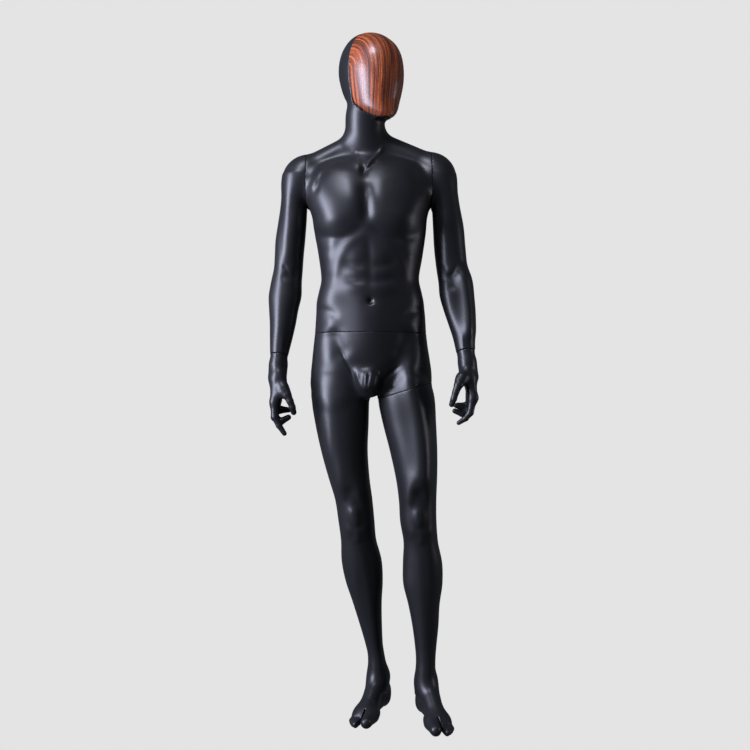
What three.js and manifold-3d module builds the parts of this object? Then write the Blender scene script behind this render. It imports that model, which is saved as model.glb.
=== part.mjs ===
// A full body male display mannequin: hollow glass-fibre shells that part at the waist, the shoulders, the
// wrists and the top of the left leg, joined by steel fittings, with a loose face plate held by magnets.
// Millimetres, +Z up, the front faces -Y, and the origin is on the floor under the middle of the figure.
// "Right" and "left" are the mannequin's own: its right side is at -X.
import * as THREE from "three";
import { mergeVertices } from "three/addons/utils/BufferGeometryUtils.js";
import Module from "manifold-3d";

const wasm = await Module();
wasm.setup();

// ---------------------------------------------------------------------------------------------
// Driving dimensions
// ---------------------------------------------------------------------------------------------
const WALL = 5; // glass-fibre shell
const GAP = 0.3; // between pieces that meet
const DISC_THICK = 6; // closing discs at the seams
const DISC_GAP = 3; // round the edge of a disc, filled with glue on the real thing
const DISC_RECESS = 1.2; // a disc's face lies this far inside its seam

const WAIST_Z = 1041;
const SHOULDER_X = { right: -182, left: 157.5 };
const TRUNK_X = -11; // the middle of the chest, which stands over the right leg
const SHOULDER_AXIS = { y: 12, z: 1452 };
const THIGH_SEAM = { x: 91, y: 4, z: 889, tilt: 16.5 }; // rises outwards, degrees
const WRIST_SEAM = {
  right: { x: -255, y: -36, z: 981 },
  left: { x: 248.5, y: -34, z: 992 },
};
const HEAD_YAW = 35; // degrees, towards the mannequin's left
const HEAD_AXIS = { x: -6, y: 2 };
const HEAD_MEAN_RADIUS = 90;
const HEAD_WALL = 11;
const FACE_PLATE_THICK = 3.5;

const CENTRE = { x: 4, y: 17 }; // moves the finished figure over the origin

const ANKLE = {
  right: { x: 16, y: 63, turn: 18, side: -1 },
  left: { x: 147, y: 10, turn: 15, side: 1 },
};

// ---------------------------------------------------------------------------------------------
// Body sections: height, centre x, centre y, half width, reach to the front, reach to the back, exponent
// ---------------------------------------------------------------------------------------------
const TORSO = [
  [1520, -15, 22, 92, 50, 52, 2.1],
  [1497, -12, 18, 132, 72, 66, 2.2],
  [1470, -11, 12, 160, 88, 82, 2.3],
  [1430, -11, 6, 170, 104, 98, 2.4],
  [1389, -11, 2, 164, 112, 106, 2.4],
  [1350, -9, 0, 153, 114, 108, 2.4],
  [1313, -9, 0, 150, 111, 106, 2.35],
  [1275, -8, 0, 144, 106, 101, 2.3],
  [1237, -8, 0, 138, 101, 94, 2.3],
  [1199, -9, 0, 132, 97, 88, 2.3],
  [1178, -9, 0, 132, 96, 86, 2.3],
  [1150, -9, 0, 138, 97, 86, 2.3],
  [1123, -9, 2, 144, 99, 87, 2.35],
  [1090, -8, 4, 147, 102, 90, 2.4],
  [1044, -8, 6, 150, 106, 95, 2.4],
  [1008, -8, 8, 154, 106, 103, 2.4],
  [970, -7, 10, 159, 103, 113, 2.4],
  [932, -6, 12, 164, 97, 120, 2.4],
  [894, -4, 14, 167, 92, 118, 2.4],
  [878, -3, 13, 154, 76, 100, 2.3],
];
const NECK = [
  [1690, -14, -4, 48, 50, 60, 2.0],
  [1640, -22, 0, 52, 56, 60, 2.0],
  [1600, -23, 6, 53, 56, 58, 2.0],
  [1560, -22, 14, 54, 55, 57, 2.0],
  [1530, -20, 20, 58, 54, 58, 2.0],
  [1490, -16, 26, 66, 52, 58, 2.1],
];
const R_LEG = [
  [900, -84, 10, 78, 88, 104, 2.2],
  [856, -90, 9, 77, 88, 98, 2.2],
  [799, -86, 8, 72, 86, 88, 2.15],
  [723, -79, 6, 62.5, 79, 78, 2.1],
  [647, -66, 8, 54.5, 70, 68, 2.1],
  [590, -54, 12, 50, 63, 60, 2.1],
  [533, -47, 16, 48.5, 60, 54, 2.1],
  [476, -41, 24, 47.5, 54, 56, 2.1],
  [419, -33, 34, 54, 52, 66, 2.1],
  [362, -26, 42, 50.5, 49, 64, 2.1],
  [305, -18, 49, 40, 44, 55, 2.1],
  [248, -9, 54, 31.5, 38, 46, 2.1],
  [191, 1, 58, 25, 34, 40, 2.1],
  [153, 8, 60, 23.5, 35, 37, 2.1],
  [110, 11, 60, 26, 38, 38, 2.1],
  [60, 13, 62, 27, 36, 40, 2.1],
];
const L_LEG = [
  [900, 82, 8, 78, 88, 104, 2.2],
  [856, 89, 4, 76.5, 87, 96, 2.2],
  [799, 97, 0, 71.5, 85, 87, 2.15],
  [723, 108, -7, 63, 79, 78, 2.1],
  [647, 116, -13, 54.5, 70, 68, 2.1],
  [590, 119, -16, 49.8, 63, 60, 2.1],
  [533, 121, -15, 48.3, 60, 54, 2.1],
  [476, 128, -9, 46, 54, 56, 2.1],
  [419, 133, -3, 52.5, 52, 66, 2.1],
  [362, 134, 1, 52.5, 49, 64, 2.1],
  [305, 137, 4, 42, 44, 55, 2.1],
  [248, 141, 5, 35, 38, 46, 2.1],
  [191, 142, 6, 28.5, 34, 40, 2.1],
  [153, 142, 7, 25.8, 35, 37, 2.1],
  [110, 141, 8, 27, 38, 38, 2.1],
  [60, 140, 10, 27, 36, 40, 2.1],
];
const R_ARM = [
  [1470, -205, 14, 38, 46, 46, 2.1],
  [1430, -212, 14, 37, 51, 50, 2.1],
  [1389, -217, 14, 36, 51, 50, 2.1],
  [1340, -222, 13, 38, 50, 49, 2.1],
  [1294, -227, 12, 39.5, 48, 48, 2.1],
  [1250, -230, 11, 38.5, 46, 45, 2.1],
  [1218, -232, 9, 38.5, 44, 42, 2.1],
  [1180, -237, 5, 41, 43, 42, 2.1],
  [1142, -240, -1, 43.5, 44, 43, 2.1],
  [1104, -243, -9, 38.5, 43, 42, 2.1],
  [1066, -246, -18, 34, 41, 39, 2.1],
  [1028, -250, -26, 29.5, 37, 35, 2.1],
  [990, -254, -34, 25, 33, 31, 2.1],
  [951, -258, -42, 20, 29, 28, 2.1],
  [925, -260, -46, 19, 28, 27, 2.1],
];
const L_ARM = [
  [1470, 181, 14, 38, 46, 46, 2.1],
  [1430, 190, 14, 38, 51, 50, 2.1],
  [1389, 197, 14, 37.5, 51, 50, 2.1],
  [1332, 204, 13, 41, 50, 49, 2.1],
  [1275, 208, 12, 42, 48, 47, 2.1],
  [1218, 214, 9, 42, 44, 42, 2.1],
  [1180, 222, 5, 44.5, 43, 42, 2.1],
  [1142, 225, -1, 44.5, 44, 43, 2.1],
  [1104, 231, -9, 40.5, 43, 42, 2.1],
  [1066, 237, -18, 34.5, 41, 39, 2.1],
  [1028, 243, -26, 28.7, 37, 35, 2.1],
  [990, 247, -34, 24.5, 33, 31, 2.1],
  [951, 252, -42, 19.8, 29, 28, 2.1],
  [925, 255, -46, 19, 28, 27, 2.1],
];
const HEAD = [
  [1858, 0, 12, 12, 14, 18, 2.0],
  [1850, 0, 12, 34, 40, 46, 2.0],
  [1838, 0, 10, 50, 60, 67, 2.05],
  [1815, 0, 7, 65, 84, 88, 2.1],
  [1785, 0, 5, 74, 99, 99, 2.15],
  [1750, 0, 2, 77, 102, 101, 2.2],
  [1715, 0, 0, 74, 102, 92, 2.2],
  [1685, 0, -4, 68, 93, 82, 2.2],
  [1660, 0, -11, 61, 80, 69, 2.15],
  [1640, 0, -19, 52, 72, 59, 2.1],
  [1625, 0, -30, 38, 62, 44, 2.05],
  [1615, 0, -38, 22, 50, 32, 2.0],
];

// ---------------------------------------------------------------------------------------------
// Shapes as distance fields: a section stack, an ellipsoid and a round cone, smoothly joined
// ---------------------------------------------------------------------------------------------
const radians = THREE.MathUtils.degToRad;

// A row of the stack at height z, by a cubic through the rows on either side.
function sectionAt(rows, z) {
  const last = rows.length - 1;
  const height = THREE.MathUtils.clamp(z, rows[last][0], rows[0][0]);
  let i = 0;
  while (i < last - 1 && rows[i + 1][0] > height) i += 1;
  const slope = (j, column) => {
    const above = rows[Math.max(j - 1, 0)];
    const below = rows[Math.min(j + 1, last)];
    return (above[column] - below[column]) / (above[0] - below[0]);
  };
  const span = rows[i][0] - rows[i + 1][0];
  const s = (height - rows[i + 1][0]) / span;
  const low = 1 - 3 * s * s + 2 * s * s * s;
  return rows[i].map(
    (top, column) =>
      low * rows[i + 1][column] +
      (1 - low) * top +
      span * (s - 2 * s * s + s * s * s) * slope(i + 1, column) +
      span * (s * s * s - s * s) * slope(i, column),
  );
}

// A stack of superellipse sections; yaw turns all of them about a vertical axis.
function stack(rows, blend, yaw = 0, axis = { x: 0, y: 0 }) {
  const cos = Math.cos(radians(yaw));
  const sin = Math.sin(radians(yaw));
  const top = rows[0][0];
  const bottom = rows[rows.length - 1][0];
  const distance = (x, y, z) => {
    const [, cx, cy, half, front, back, power] = sectionAt(rows, z);
    const px = yaw ? cos * (x - axis.x) + sin * (y - axis.y) : x;
    const py = yaw ? -sin * (x - axis.x) + cos * (y - axis.y) : y;
    const dx = px - cx;
    const dy = py - cy;
    const scaled = Math.abs(dx / half) ** power + Math.abs(dy / (dy < 0 ? front : back)) ** power;
    const g = scaled ** (1 / power);
    const reach = Math.hypot(dx, dy);
    const radial = g > 0.15 ? reach - reach / g : (g - 1) * Math.min(half, front, back);
    const over = Math.max(bottom - z, z - top, 0);
    if (over === 0) return radial;
    return Math.hypot(Math.max(radial, 0), over) + Math.min(Math.max(radial, over), 0);
  };
  return { distance, blend };
}

// An ellipsoid; yaw turns it about a vertical axis.
function ball([cx, cy, cz], [rx, ry, rz], blend, yaw = 0) {
  const cos = Math.cos(radians(yaw));
  const sin = Math.sin(radians(yaw));
  const distance = (x, y, z) => {
    const a = cos * (x - cx) + sin * (y - cy);
    const b = -sin * (x - cx) + cos * (y - cy);
    const c = z - cz;
    const k0 = Math.hypot(a / rx, b / ry, c / rz);
    const k1 = Math.hypot(a / rx ** 2, b / ry ** 2, c / rz ** 2);
    return k0 < 1e-3 ? -Math.min(rx, ry, rz) : (k0 * (k0 - 1)) / k1;
  };
  return { distance, blend };
}

// A cone with round ends, from one centre and radius to another.
function roundCone(from, to, radiusFrom, radiusTo, blend) {
  const a = new THREE.Vector3(...from);
  const ba = new THREE.Vector3(...to).sub(a);
  const l2 = ba.lengthSq();
  const rr = radiusFrom - radiusTo;
  const a2 = l2 - rr * rr;
  const pa = new THREE.Vector3();
  const across = new THREE.Vector3();
  const distance = (x, y, z) => {
    pa.set(x, y, z).sub(a);
    const along = pa.dot(ba);
    const past = along - l2;
    const x2 = across.copy(pa).multiplyScalar(l2).addScaledVector(ba, -along).lengthSq();
    const y2 = along * along * l2;
    const z2 = past * past * l2;
    const k = Math.sign(rr) * rr * rr * x2;
    if (Math.sign(past) * a2 * z2 > k) return Math.sqrt(x2 + z2) / l2 - radiusTo;
    if (Math.sign(along) * a2 * y2 < k) return Math.sqrt(x2 + y2) / l2 - radiusFrom;
    return (Math.sqrt((x2 * a2) / l2) + along * rr) / l2 - radiusFrom;
  };
  return { distance, blend };
}

// The smooth union of several shapes: negative inside, near enough the distance to the surface.
function joined(shapes) {
  return (x, y, z) => {
    let d = 60;
    for (const { distance, blend } of shapes) {
      const e = distance(x, y, z);
      const h = Math.max(blend - Math.abs(d - e), 0) / blend;
      d = Math.min(d, e) - (h * h * blend) / 4;
    }
    return d;
  };
}

// ---------------------------------------------------------------------------------------------
// Closed meshes from those fields
// ---------------------------------------------------------------------------------------------

// How far along a ray from its start the surface lies, at most reach.
function surfaceAlong(field, start, direction, reach) {
  const step = 3;
  const value = (t) =>
    field(start.x + direction.x * t, start.y + direction.y * t, start.z + direction.z * t);
  let t = 0;
  while (t < reach && value(t) < 0) t += step;
  if (t >= reach) return reach;
  let inside = Math.max(t - step, 0);
  let outside = t;
  for (let i = 0; i < 18; i += 1) {
    const middle = (inside + outside) / 2;
    if (value(middle) < 0) inside = middle;
    else outside = middle;
  }
  return inside;
}

// A closed cylinder whose rings are drawn out to the field's surface. Each ring is
// { at, axis } with axis pointing back to the first ring; side is the sectors' starting direction.
function wrapped(field, rings, sectors, reach = 400, side = new THREE.Vector3(1, 0, 0)) {
  const last = rings.length - 1;
  const geometry = new THREE.CylinderGeometry(1, 1, 1, sectors, last, false);
  const place = geometry.getAttribute("position");
  const found = new Map();
  const local = new THREE.Vector3();
  const direction = new THREE.Vector3();
  for (let i = 0; i < place.count; i += 1) {
    local.fromBufferAttribute(place, i);
    const ring = Math.round((0.5 - local.y) * last);
    const { at, axis } = rings[ring];
    if (Math.hypot(local.x, local.z) < 0.5) {
      place.setXYZ(i, at.x, at.y, at.z);
      continue;
    }
    const sector = (Math.round((Math.atan2(local.x, local.z) / (2 * Math.PI)) * sectors) + sectors) % sectors;
    const key = ring * sectors + sector;
    if (!found.has(key)) {
      const angle = (sector / sectors) * 2 * Math.PI;
      const across = side.clone().addScaledVector(axis, -side.dot(axis)).normalize();
      const forward = across.clone().cross(axis);
      direction.copy(across).multiplyScalar(Math.sin(angle)).addScaledVector(forward, Math.cos(angle));
      const t = Math.max(surfaceAlong(field, at, direction, reach), 0.5);
      found.set(key, at.clone().addScaledVector(direction, t));
    }
    const p = found.get(key);
    place.setXYZ(i, p.x, p.y, p.z);
  }
  return geometry;
}

// Level rings at the given heights, each centred by centreAt(z).
function levelRings(heights, centreAt) {
  const axis = new THREE.Vector3(0, 0, 1);
  return heights.map((z) => {
    const [x, y] = centreAt(z);
    return { at: new THREE.Vector3(x, y, z), axis };
  });
}

// The geometry as a manifold solid, for cutting and joining.
function solid(geometry) {
  const bare = geometry.clone();
  bare.deleteAttribute("normal");
  bare.deleteAttribute("uv");
  const merged = mergeVertices(bare, 1e-4);
  return new wasm.Manifold(
    new wasm.Mesh({
      numProp: 3,
      vertProperties: new Float32Array(merged.getAttribute("position").array),
      triVerts: new Uint32Array(merged.index.array),
    }),
  );
}

function geometryOf(manifold) {
  const mesh = manifold.getMesh();
  const geometry = new THREE.BufferGeometry();
  geometry.setAttribute("position", new THREE.BufferAttribute(new Float32Array(mesh.vertProperties), 3));
  geometry.setIndex(new THREE.BufferAttribute(new Uint32Array(mesh.triVerts), 1));
  geometry.computeVertexNormals();
  return geometry;
}

// The main body of a cut piece, without the slivers that facets leave beside it or inside it.
function mainBody(manifold) {
  const bodies = manifold.decompose();
  return bodies.reduce((most, body) => (body.volume() > most.volume() ? body : most));
}

// A big block that fills the side of a plane its normal points to.
function halfSpace(at, normal) {
  const size = 8000;
  const block = new THREE.BoxGeometry(size, size, size);
  block.translate(0, 0, size / 2);
  const turn = new THREE.Quaternion().setFromUnitVectors(new THREE.Vector3(0, 0, 1), normal);
  block.applyQuaternion(turn);
  block.translate(at.x, at.y, at.z);
  return solid(block);
}

// ---------------------------------------------------------------------------------------------
// The figure's shape
// ---------------------------------------------------------------------------------------------
const headStack = stack(HEAD, 14, HEAD_YAW, HEAD_AXIS);
const torsoStack = stack(TORSO, 30);
const neckStack = stack(NECK, 20);
const legStack = { right: stack(R_LEG, 30), left: stack(L_LEG, 9) };
const armStack = { right: stack(R_ARM, 14), left: stack(L_ARM, 14) };
const shoulderSlope = {
  right: roundCone([-28, 20, 1566], [-168, 13, 1493], 36, 37, 26),
  left: roundCone([-12, 20, 1566], [146, 13, 1493], 36, 37, 26),
};
const shoulderCap = {
  right: ball([-199, 13, 1456], [53, 54, 66], 28),
  left: ball([175, 13, 1456], [51, 54, 66], 28),
};
const groin = ball([-6, -72, 893], [27, 36, 40], 22);

// A foot from its ankle: a runs towards the toes, b towards the little toe, z up from the floor.
function footShapes({ x, y, turn, side }) {
  const sin = Math.sin(radians(turn));
  const cos = Math.cos(radians(turn));
  const at = (a, b, z) => [x + side * (a * sin + b * cos), y - a * cos + b * sin, z];
  const yaw = THREE.MathUtils.radToDeg(Math.atan2(-cos, side * sin));
  const toes = [
    [126, -28, 19, 168, -26, 14, 17, 14.5],
    [128, -5, 15, 168, -3, 10, 11, 10],
    [124, 9, 14, 160, 11, 9.5, 10.5, 9.5],
    [118, 22, 13, 151, 25, 9, 10, 9],
    [110, 34, 12, 140, 38, 9, 9.5, 8.5],
  ];
  const shapes = [
    ball(at(-26, 0, 34), [33, 30, 40], 26, yaw),
    roundCone(at(0, 0, 86), at(66, -6, 44), 34, 30, 26),
    roundCone(at(-20, 0, 26), at(100, 8, 22), 28, 26, 24),
    roundCone(at(40, -10, 46), at(118, -20, 26), 28, 22, 20),
    ball(at(112, -14, 20), [44, 33, 24], 20, yaw),
    ball(at(100, 20, 17), [50, 28, 20], 20, yaw),
    ...toes.map(([a0, b0, z0, a1, b1, z1, r0, r1]) =>
      roundCone(at(a0, b0, z0), at(a1, b1, z1), r0, r1, 5)),
  ];
  return { at, shapes };
}

// A hand from its wrist: m runs towards the thigh, f forwards, d down the hand.
function handShapes({ x, y, z, side, tilt }) {
  const sin = Math.sin(radians(tilt));
  const cos = Math.cos(radians(tilt));
  const at = ([m, f, d]) => [x - side * (m * cos + d * sin), y - f, z - (d * cos - m * sin)];
  const palm = [
    [[0, 6, -10], [-2, 4, 24], 19, 19, 18],
    [[0, -10, -10], [-2, -12, 24], 18, 17, 18],
    [[-3, 22, 34], [-6, 30, 84], 17, 13, 14],
    [[-3, 6, 30], [-7, 10, 88], 17, 13.5, 14],
    [[-3, -12, 30], [-7, -9, 86], 16, 13, 14],
    [[-3, -26, 32], [-5, -26, 80], 14, 12, 14],
    [[8, 24, 26], [12, 30, 50], 15, 14, 14],
  ].map(([from, to, r0, r1, blend]) => roundCone(at(from), at(to), r0, r1, blend));
  const fingers = [
    { points: [[12, 34, 30], [26, 46, 66], [36, 46, 96], [40, 40, 118]], radii: [13.5, 11, 9.6, 8.2] },
    { points: [[-7, 31, 84], [-10, 34, 122], [4, 34, 146], [20, 33, 166]], radii: [10.5, 9.5, 8.6, 7.6] },
    { points: [[-8, 10, 88], [-10, 12, 128], [10, 14, 144], [32, 18, 132]], radii: [10.8, 9.8, 8.8, 7.8] },
    { points: [[-8, -9, 86], [-10, -8, 122], [8, -6, 140], [32, -2, 130]], radii: [10.4, 9.4, 8.5, 7.6] },
    { points: [[-6, -26, 80], [-8, -27, 110], [6, -25, 126], [26, -20, 120]], radii: [9.4, 8.5, 7.6, 6.8] },
  ].map(({ points, radii }) => ({ points: points.map((p) => new THREE.Vector3(...at(p))), radii }));
  return { palm, fingers };
}

const HAND = {
  right: { x: -257, y: -46, z: 942, side: -1, tilt: 3 },
  left: { x: 249, y: -46, z: 948, side: 1, tilt: 12 },
};

// ---------------------------------------------------------------------------------------------
// Ways of making pieces
// ---------------------------------------------------------------------------------------------
const vector = (x, y, z) => new THREE.Vector3(x, y, z);
const UP = vector(0, 0, 1);

const shellPaint = new THREE.MeshStandardMaterial({ color: 0x17181b, roughness: 0.42, metalness: 0 });
const woodLacquer = new THREE.MeshStandardMaterial({ color: 0x8a3f22, roughness: 0.15, metalness: 0 });
const discPaint = new THREE.MeshStandardMaterial({ color: 0x202124, roughness: 0.6, metalness: 0 });
const zincSteel = new THREE.MeshStandardMaterial({ color: 0xb9bcc0, roughness: 0.35, metalness: 1 });
const magnetNickel = new THREE.MeshStandardMaterial({ color: 0xcfd0d2, roughness: 0.25, metalness: 1 });

const mannequin = new THREE.Group();
mannequin.name = "full_body_mannequin";

function place(name, geometry, material) {
  const mesh = new THREE.Mesh(geometry, material);
  mesh.name = name;
  mannequin.add(mesh);
  return mesh;
}

const offsetField = (field, depth) => (x, y, z) => field(x, y, z) + depth;

// Turns a shape made along +Z at the origin to point along normal, at a place.
function pointed(geometry, at, normal) {
  geometry.applyQuaternion(new THREE.Quaternion().setFromUnitVectors(UP, normal));
  return geometry.translate(at.x, at.y, at.z);
}

// A closing disc just behind a seam: the inner outline of its shell, drawn in by DISC_GAP.
function closingDisc({ field, depth, at, inwards, sectors, side, reach }) {
  const near = GAP / 2 + DISC_RECESS;
  const rings = [near + DISC_THICK, near].map((distance) => ({
    at: at.clone().addScaledVector(inwards, distance),
    axis: inwards,
  }));
  return solid(wrapped(offsetField(field, depth + DISC_GAP), rings, sectors, reach, side));
}

// A turned piece: [radius, height] points from the axis round to the axis, or a closed ring of them.
function turned(profile, sectors = 24) {
  return new THREE.LatheGeometry(
    profile.map(([r, h]) => new THREE.Vector2(r, h)),
    sectors,
  ).rotateX(Math.PI / 2);
}

const FITTING = {
  waist: { plate: 52, peg: 17, length: 40, sleeve: 22, screw: 2.5, ring: 40, screws: 3, sectors: 16 },
  shoulder: { plate: 31, peg: 10, length: 26, sleeve: 14, screw: 2, ring: 24, screws: 2, sectors: 12 },
  thigh: { plate: 42, peg: 14, length: 36, sleeve: 18.5, screw: 2.5, ring: 32, screws: 3, sectors: 14 },
  wrist: { plate: 12.5, peg: 5, length: 22, sleeve: 8, sectors: 10 },
};
const PLATE_THICK = 4;
const RUNNING_GAP = 0.5;
const PLATE_FROM_SEAM = GAP / 2 + DISC_RECESS + DISC_THICK + GAP;

// Where a fitting's screws stand round its axis.
function screwSpots({ ring, screws }, at, normal) {
  const turn = new THREE.Quaternion().setFromUnitVectors(UP, normal);
  const spots = [];
  for (let i = 0; i < screws; i += 1) {
    const angle = ((i + 0.5) / screws) * 2 * Math.PI;
    spots.push(vector(ring * Math.cos(angle), ring * Math.sin(angle), 0).applyQuaternion(turn).add(at));
  }
  return spots;
}

// One side of a joint: a disc, the steel plate behind it with a peg or a sleeve, and the screws.
// inwards points from the seam into this side's shell.
function fittingSide({ cover, at, inwards, size, role, discName, plateName, screwName }) {
  const passage = role === "peg" ? size.peg : size.sleeve;
  let disc = closingDisc({ at, inwards, side: vector(1, 0, 0), reach: 200, ...cover });
  disc = disc.subtract(solid(pointed(turned([
    [0, -20], [passage + RUNNING_GAP, -20], [passage + RUNNING_GAP, 30], [0, 30],
  ], size.sectors), at, inwards)));

  const near = PLATE_FROM_SEAM;
  const far = PLATE_FROM_SEAM + PLATE_THICK;
  const profile = role === "peg"
    ? [[0, -size.length], [size.peg - 2, -size.length], [size.peg, -size.length + 2],
      [size.peg, near], [size.plate, near], [size.plate, far], [0, far]]
    : [[size.peg + RUNNING_GAP, DISC_RECESS + GAP], [size.sleeve, DISC_RECESS + GAP], [size.sleeve, near],
      [size.plate, near], [size.plate, far], [size.sleeve, far], [size.sleeve, size.length + 8],
      [size.peg + RUNNING_GAP, size.length + 8], [size.peg + RUNNING_GAP, DISC_RECESS + GAP]];
  let plate = solid(pointed(turned(profile, size.sectors), at, inwards));

  const spots = size.screws ? screwSpots(size, at, inwards) : [];
  const face = GAP / 2 + DISC_RECESS;
  spots.forEach((spot, i) => {
    const head = size.screw * 2;
    const bore = solid(pointed(turned([
      [0, -10], [head + GAP, -10], [head + GAP, face + 3], [size.screw + GAP, face + 3],
      [size.screw + GAP, 30], [0, 30],
    ], 6), spot, inwards));
    disc = disc.subtract(bore);
    plate = plate.subtract(bore);
    const screw = turned([
      [0, face], [head, face], [head, face + 3 - GAP],
      [size.screw, face + 3 - GAP], [size.screw, far + 3], [0, far + 3],
    ], 6);
    place(`${screwName}_${i + 1}`, pointed(screw, spot, inwards), zincSteel);
  });
  place(discName, geometryOf(mainBody(disc)), discPaint);
  place(plateName, geometryOf(mainBody(plate)), zincSteel);
}

// ---------------------------------------------------------------------------------------------
// Upper torso with neck and head
// ---------------------------------------------------------------------------------------------
const waistAt = vector(-8, 6, WAIST_Z);
const headField = joined([headStack]);
const trunkShapes = [
  neckStack, torsoStack, shoulderSlope.right, shoulderSlope.left, shoulderCap.right, shoulderCap.left,
];
const trunkField = joined(trunkShapes);
const upperField = joined([...trunkShapes, headStack]);

const headSide = vector(Math.cos(radians(HEAD_YAW)), Math.sin(radians(HEAD_YAW)), 0);
const faceForward = vector(Math.sin(radians(HEAD_YAW)), -Math.cos(radians(HEAD_YAW)), 0);
// A point given in the head's own frame: x to its left, y to its back.
const inHead = (x, y, z) =>
  vector(HEAD_AXIS.x, HEAD_AXIS.y, z).addScaledVector(headSide, x).addScaledVector(faceForward, -y);

// A tube across a shoulder, its rings standing upright: distances run inwards from the seam.
function shoulderTube(field, side, distances, sectors, reach) {
  const sign = side === "right" ? -1 : 1;
  const rings = distances.map((distance) => ({
    at: vector(SHOULDER_X[side] - sign * distance, SHOULDER_AXIS.y, SHOULDER_AXIS.z),
    axis: vector(sign, 0, 0),
  }));
  return solid(wrapped(field, rings, sectors, reach, vector(0, 0, 1)));
}

// The middle of the neck and body at height z.
function trunkCentre(z) {
  const neck = THREE.MathUtils.smoothstep(z, 1510, 1590);
  const head = THREE.MathUtils.smoothstep(z, 1590, 1680);
  return [-10 - 12 * neck + 14 * head, 8 + 2 * neck];
}
const headCentre = (z) => {
  const back = THREE.MathUtils.mapLinear(z, 1619, 1720, -38, 0);
  const p = inHead(0, Math.min(back, 10), z);
  return [p.x, p.y];
};

const chestHeights = [
  1690, 1655, 1635, 1620, 1606, 1582, 1558, 1536, 1505, 1465, 1425, 1388, 1345, 1290, 1235, 1190, 1140,
  1090, WAIST_Z - 10,
];
const headHeights = [1857, 1850, 1835, 1808, 1772, 1730, 1695, 1664, 1641, 1627, 1617];
const hollowHeights = [1660, 1615, 1575, 1540, 1505, 1460, 1400, 1330, 1255, 1190, 1110, WAIST_Z - 20];

// Two meshes of one surface that overlap are each tucked in a little where the other carries on.
const TUCK = 5;
const { smoothstep } = THREE.MathUtils;
const sideways = (x) => Math.abs(x - TRUNK_X);
const tuckedTrunk = (field) => (x, y, z) =>
  field(x, y, z) + TUCK * smoothstep(sideways(x), 85, 105) * smoothstep(z, 1385, 1420);
const tuckedShoulder = (field) => (x, y, z) =>
  field(x, y, z) + TUCK * Math.max(1 - smoothstep(sideways(x), 50, 75), 1 - smoothstep(z, 1372, 1400));

const shoulderOuter = tuckedShoulder(trunkField);
const chest = solid(wrapped(tuckedTrunk(upperField), levelRings(chestHeights, trunkCentre), 20))
  .add(shoulderTube(shoulderOuter, "right", [-30, 0, 35, 75, 105], 12, 78))
  .add(shoulderTube(shoulderOuter, "left", [-30, 0, 35, 75, 105], 12, 78));
const headRings = levelRings(headHeights, headCentre);
const head = solid(wrapped(headField, headRings, 18, 200, headSide));

// The side outline of the face plate's edge: down past the ear line, then forward along the jaw.
const FACE_STEPS = 7;
const FACE_EDGE = { back: -4, chin: -76, bend: 1695, low: 1612, curve: 3.5 };
function faceEdge(z) {
  const t = THREE.MathUtils.clamp((FACE_EDGE.bend - z) / (FACE_EDGE.bend - FACE_EDGE.low), 0, 1);
  return FACE_EDGE.back + (FACE_EDGE.chin - FACE_EDGE.back) * t ** FACE_EDGE.curve;
}
function faceRegion(grow) {
  const outline = new THREE.Shape();
  outline.moveTo(-160, FACE_EDGE.low - grow);
  for (let i = 0; i <= FACE_STEPS; i += 1) {
    const z = THREE.MathUtils.lerp(FACE_EDGE.low, FACE_EDGE.bend, i / FACE_STEPS);
    outline.lineTo(faceEdge(z) + grow, z - grow);
  }
  outline.lineTo(FACE_EDGE.back + grow, 1900);
  outline.lineTo(-160, 1900);
  outline.closePath();
  const block = new THREE.ExtrudeGeometry(outline, { depth: 240, bevelEnabled: false });
  // The outline's x is the head's y and its y is height; the block runs across the head.
  const toHead = new THREE.Matrix4().makeBasis(faceForward.clone().negate(), UP, headSide.clone());
  block.translate(0, 0, -120).applyMatrix4(toHead);
  return solid(block.translate(HEAD_AXIS.x, HEAD_AXIS.y, 0));
}

// The head drawn in towards its middle, so that depth is taken off all round.
const headMiddle = inHead(0, -2, 1745);
function headDrawnIn(depth) {
  const inner = geometryOf(head).translate(-headMiddle.x, -headMiddle.y, -headMiddle.z);
  const factor = 1 - depth / HEAD_MEAN_RADIUS;
  return solid(inner.scale(factor, factor, factor).translate(headMiddle.x, headMiddle.y, headMiddle.z));
}
const seat = headDrawnIn(FACE_PLATE_THICK + GAP);
let facePlate = head.intersect(faceRegion(0)).subtract(headDrawnIn(FACE_PLATE_THICK));
const faceRecess = faceRegion(GAP).subtract(seat);

// Above the armpits the trunk's hollow stays near the neck, and a tube across each shoulder meets it.
const trunkHollowField = tuckedTrunk((x, y, z) =>
  Math.max(trunkField(x, y, z) + WALL, z > SHOULDER_AXIS.z - 10 ? sideways(x) - 105 : -1e3));
const shoulderInner = tuckedShoulder(offsetField(trunkField, WALL));
const upperHollow = headDrawnIn(HEAD_WALL)
  .add(solid(wrapped(trunkHollowField, levelRings(hollowHeights, trunkCentre), 12, 230)))
  .add(shoulderTube(shoulderInner, "right", [-20, 10, 60, 110], 10, 66))
  .add(shoulderTube(shoulderInner, "left", [-20, 10, 60, 110], 10, 66));

let torso = chest.add(head).subtract(faceRecess).subtract(upperHollow);
torso = torso.intersect(halfSpace(vector(0, 0, WAIST_Z + GAP / 2), UP));
torso = torso.intersect(halfSpace(vector(SHOULDER_X.right + GAP / 2, 0, 0), vector(1, 0, 0)));
torso = torso.intersect(halfSpace(vector(SHOULDER_X.left - GAP / 2, 0, 0), vector(-1, 0, 0)));

// The way the head's skin faces at a point on it.
function headNormal(p) {
  const step = 2;
  const slope = (dx, dy, dz) =>
    headField(p.x + dx, p.y + dy, p.z + dz) - headField(p.x - dx, p.y - dy, p.z - dz);
  return vector(slope(step, 0, 0), slope(0, step, 0), slope(0, 0, step)).normalize();
}

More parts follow.
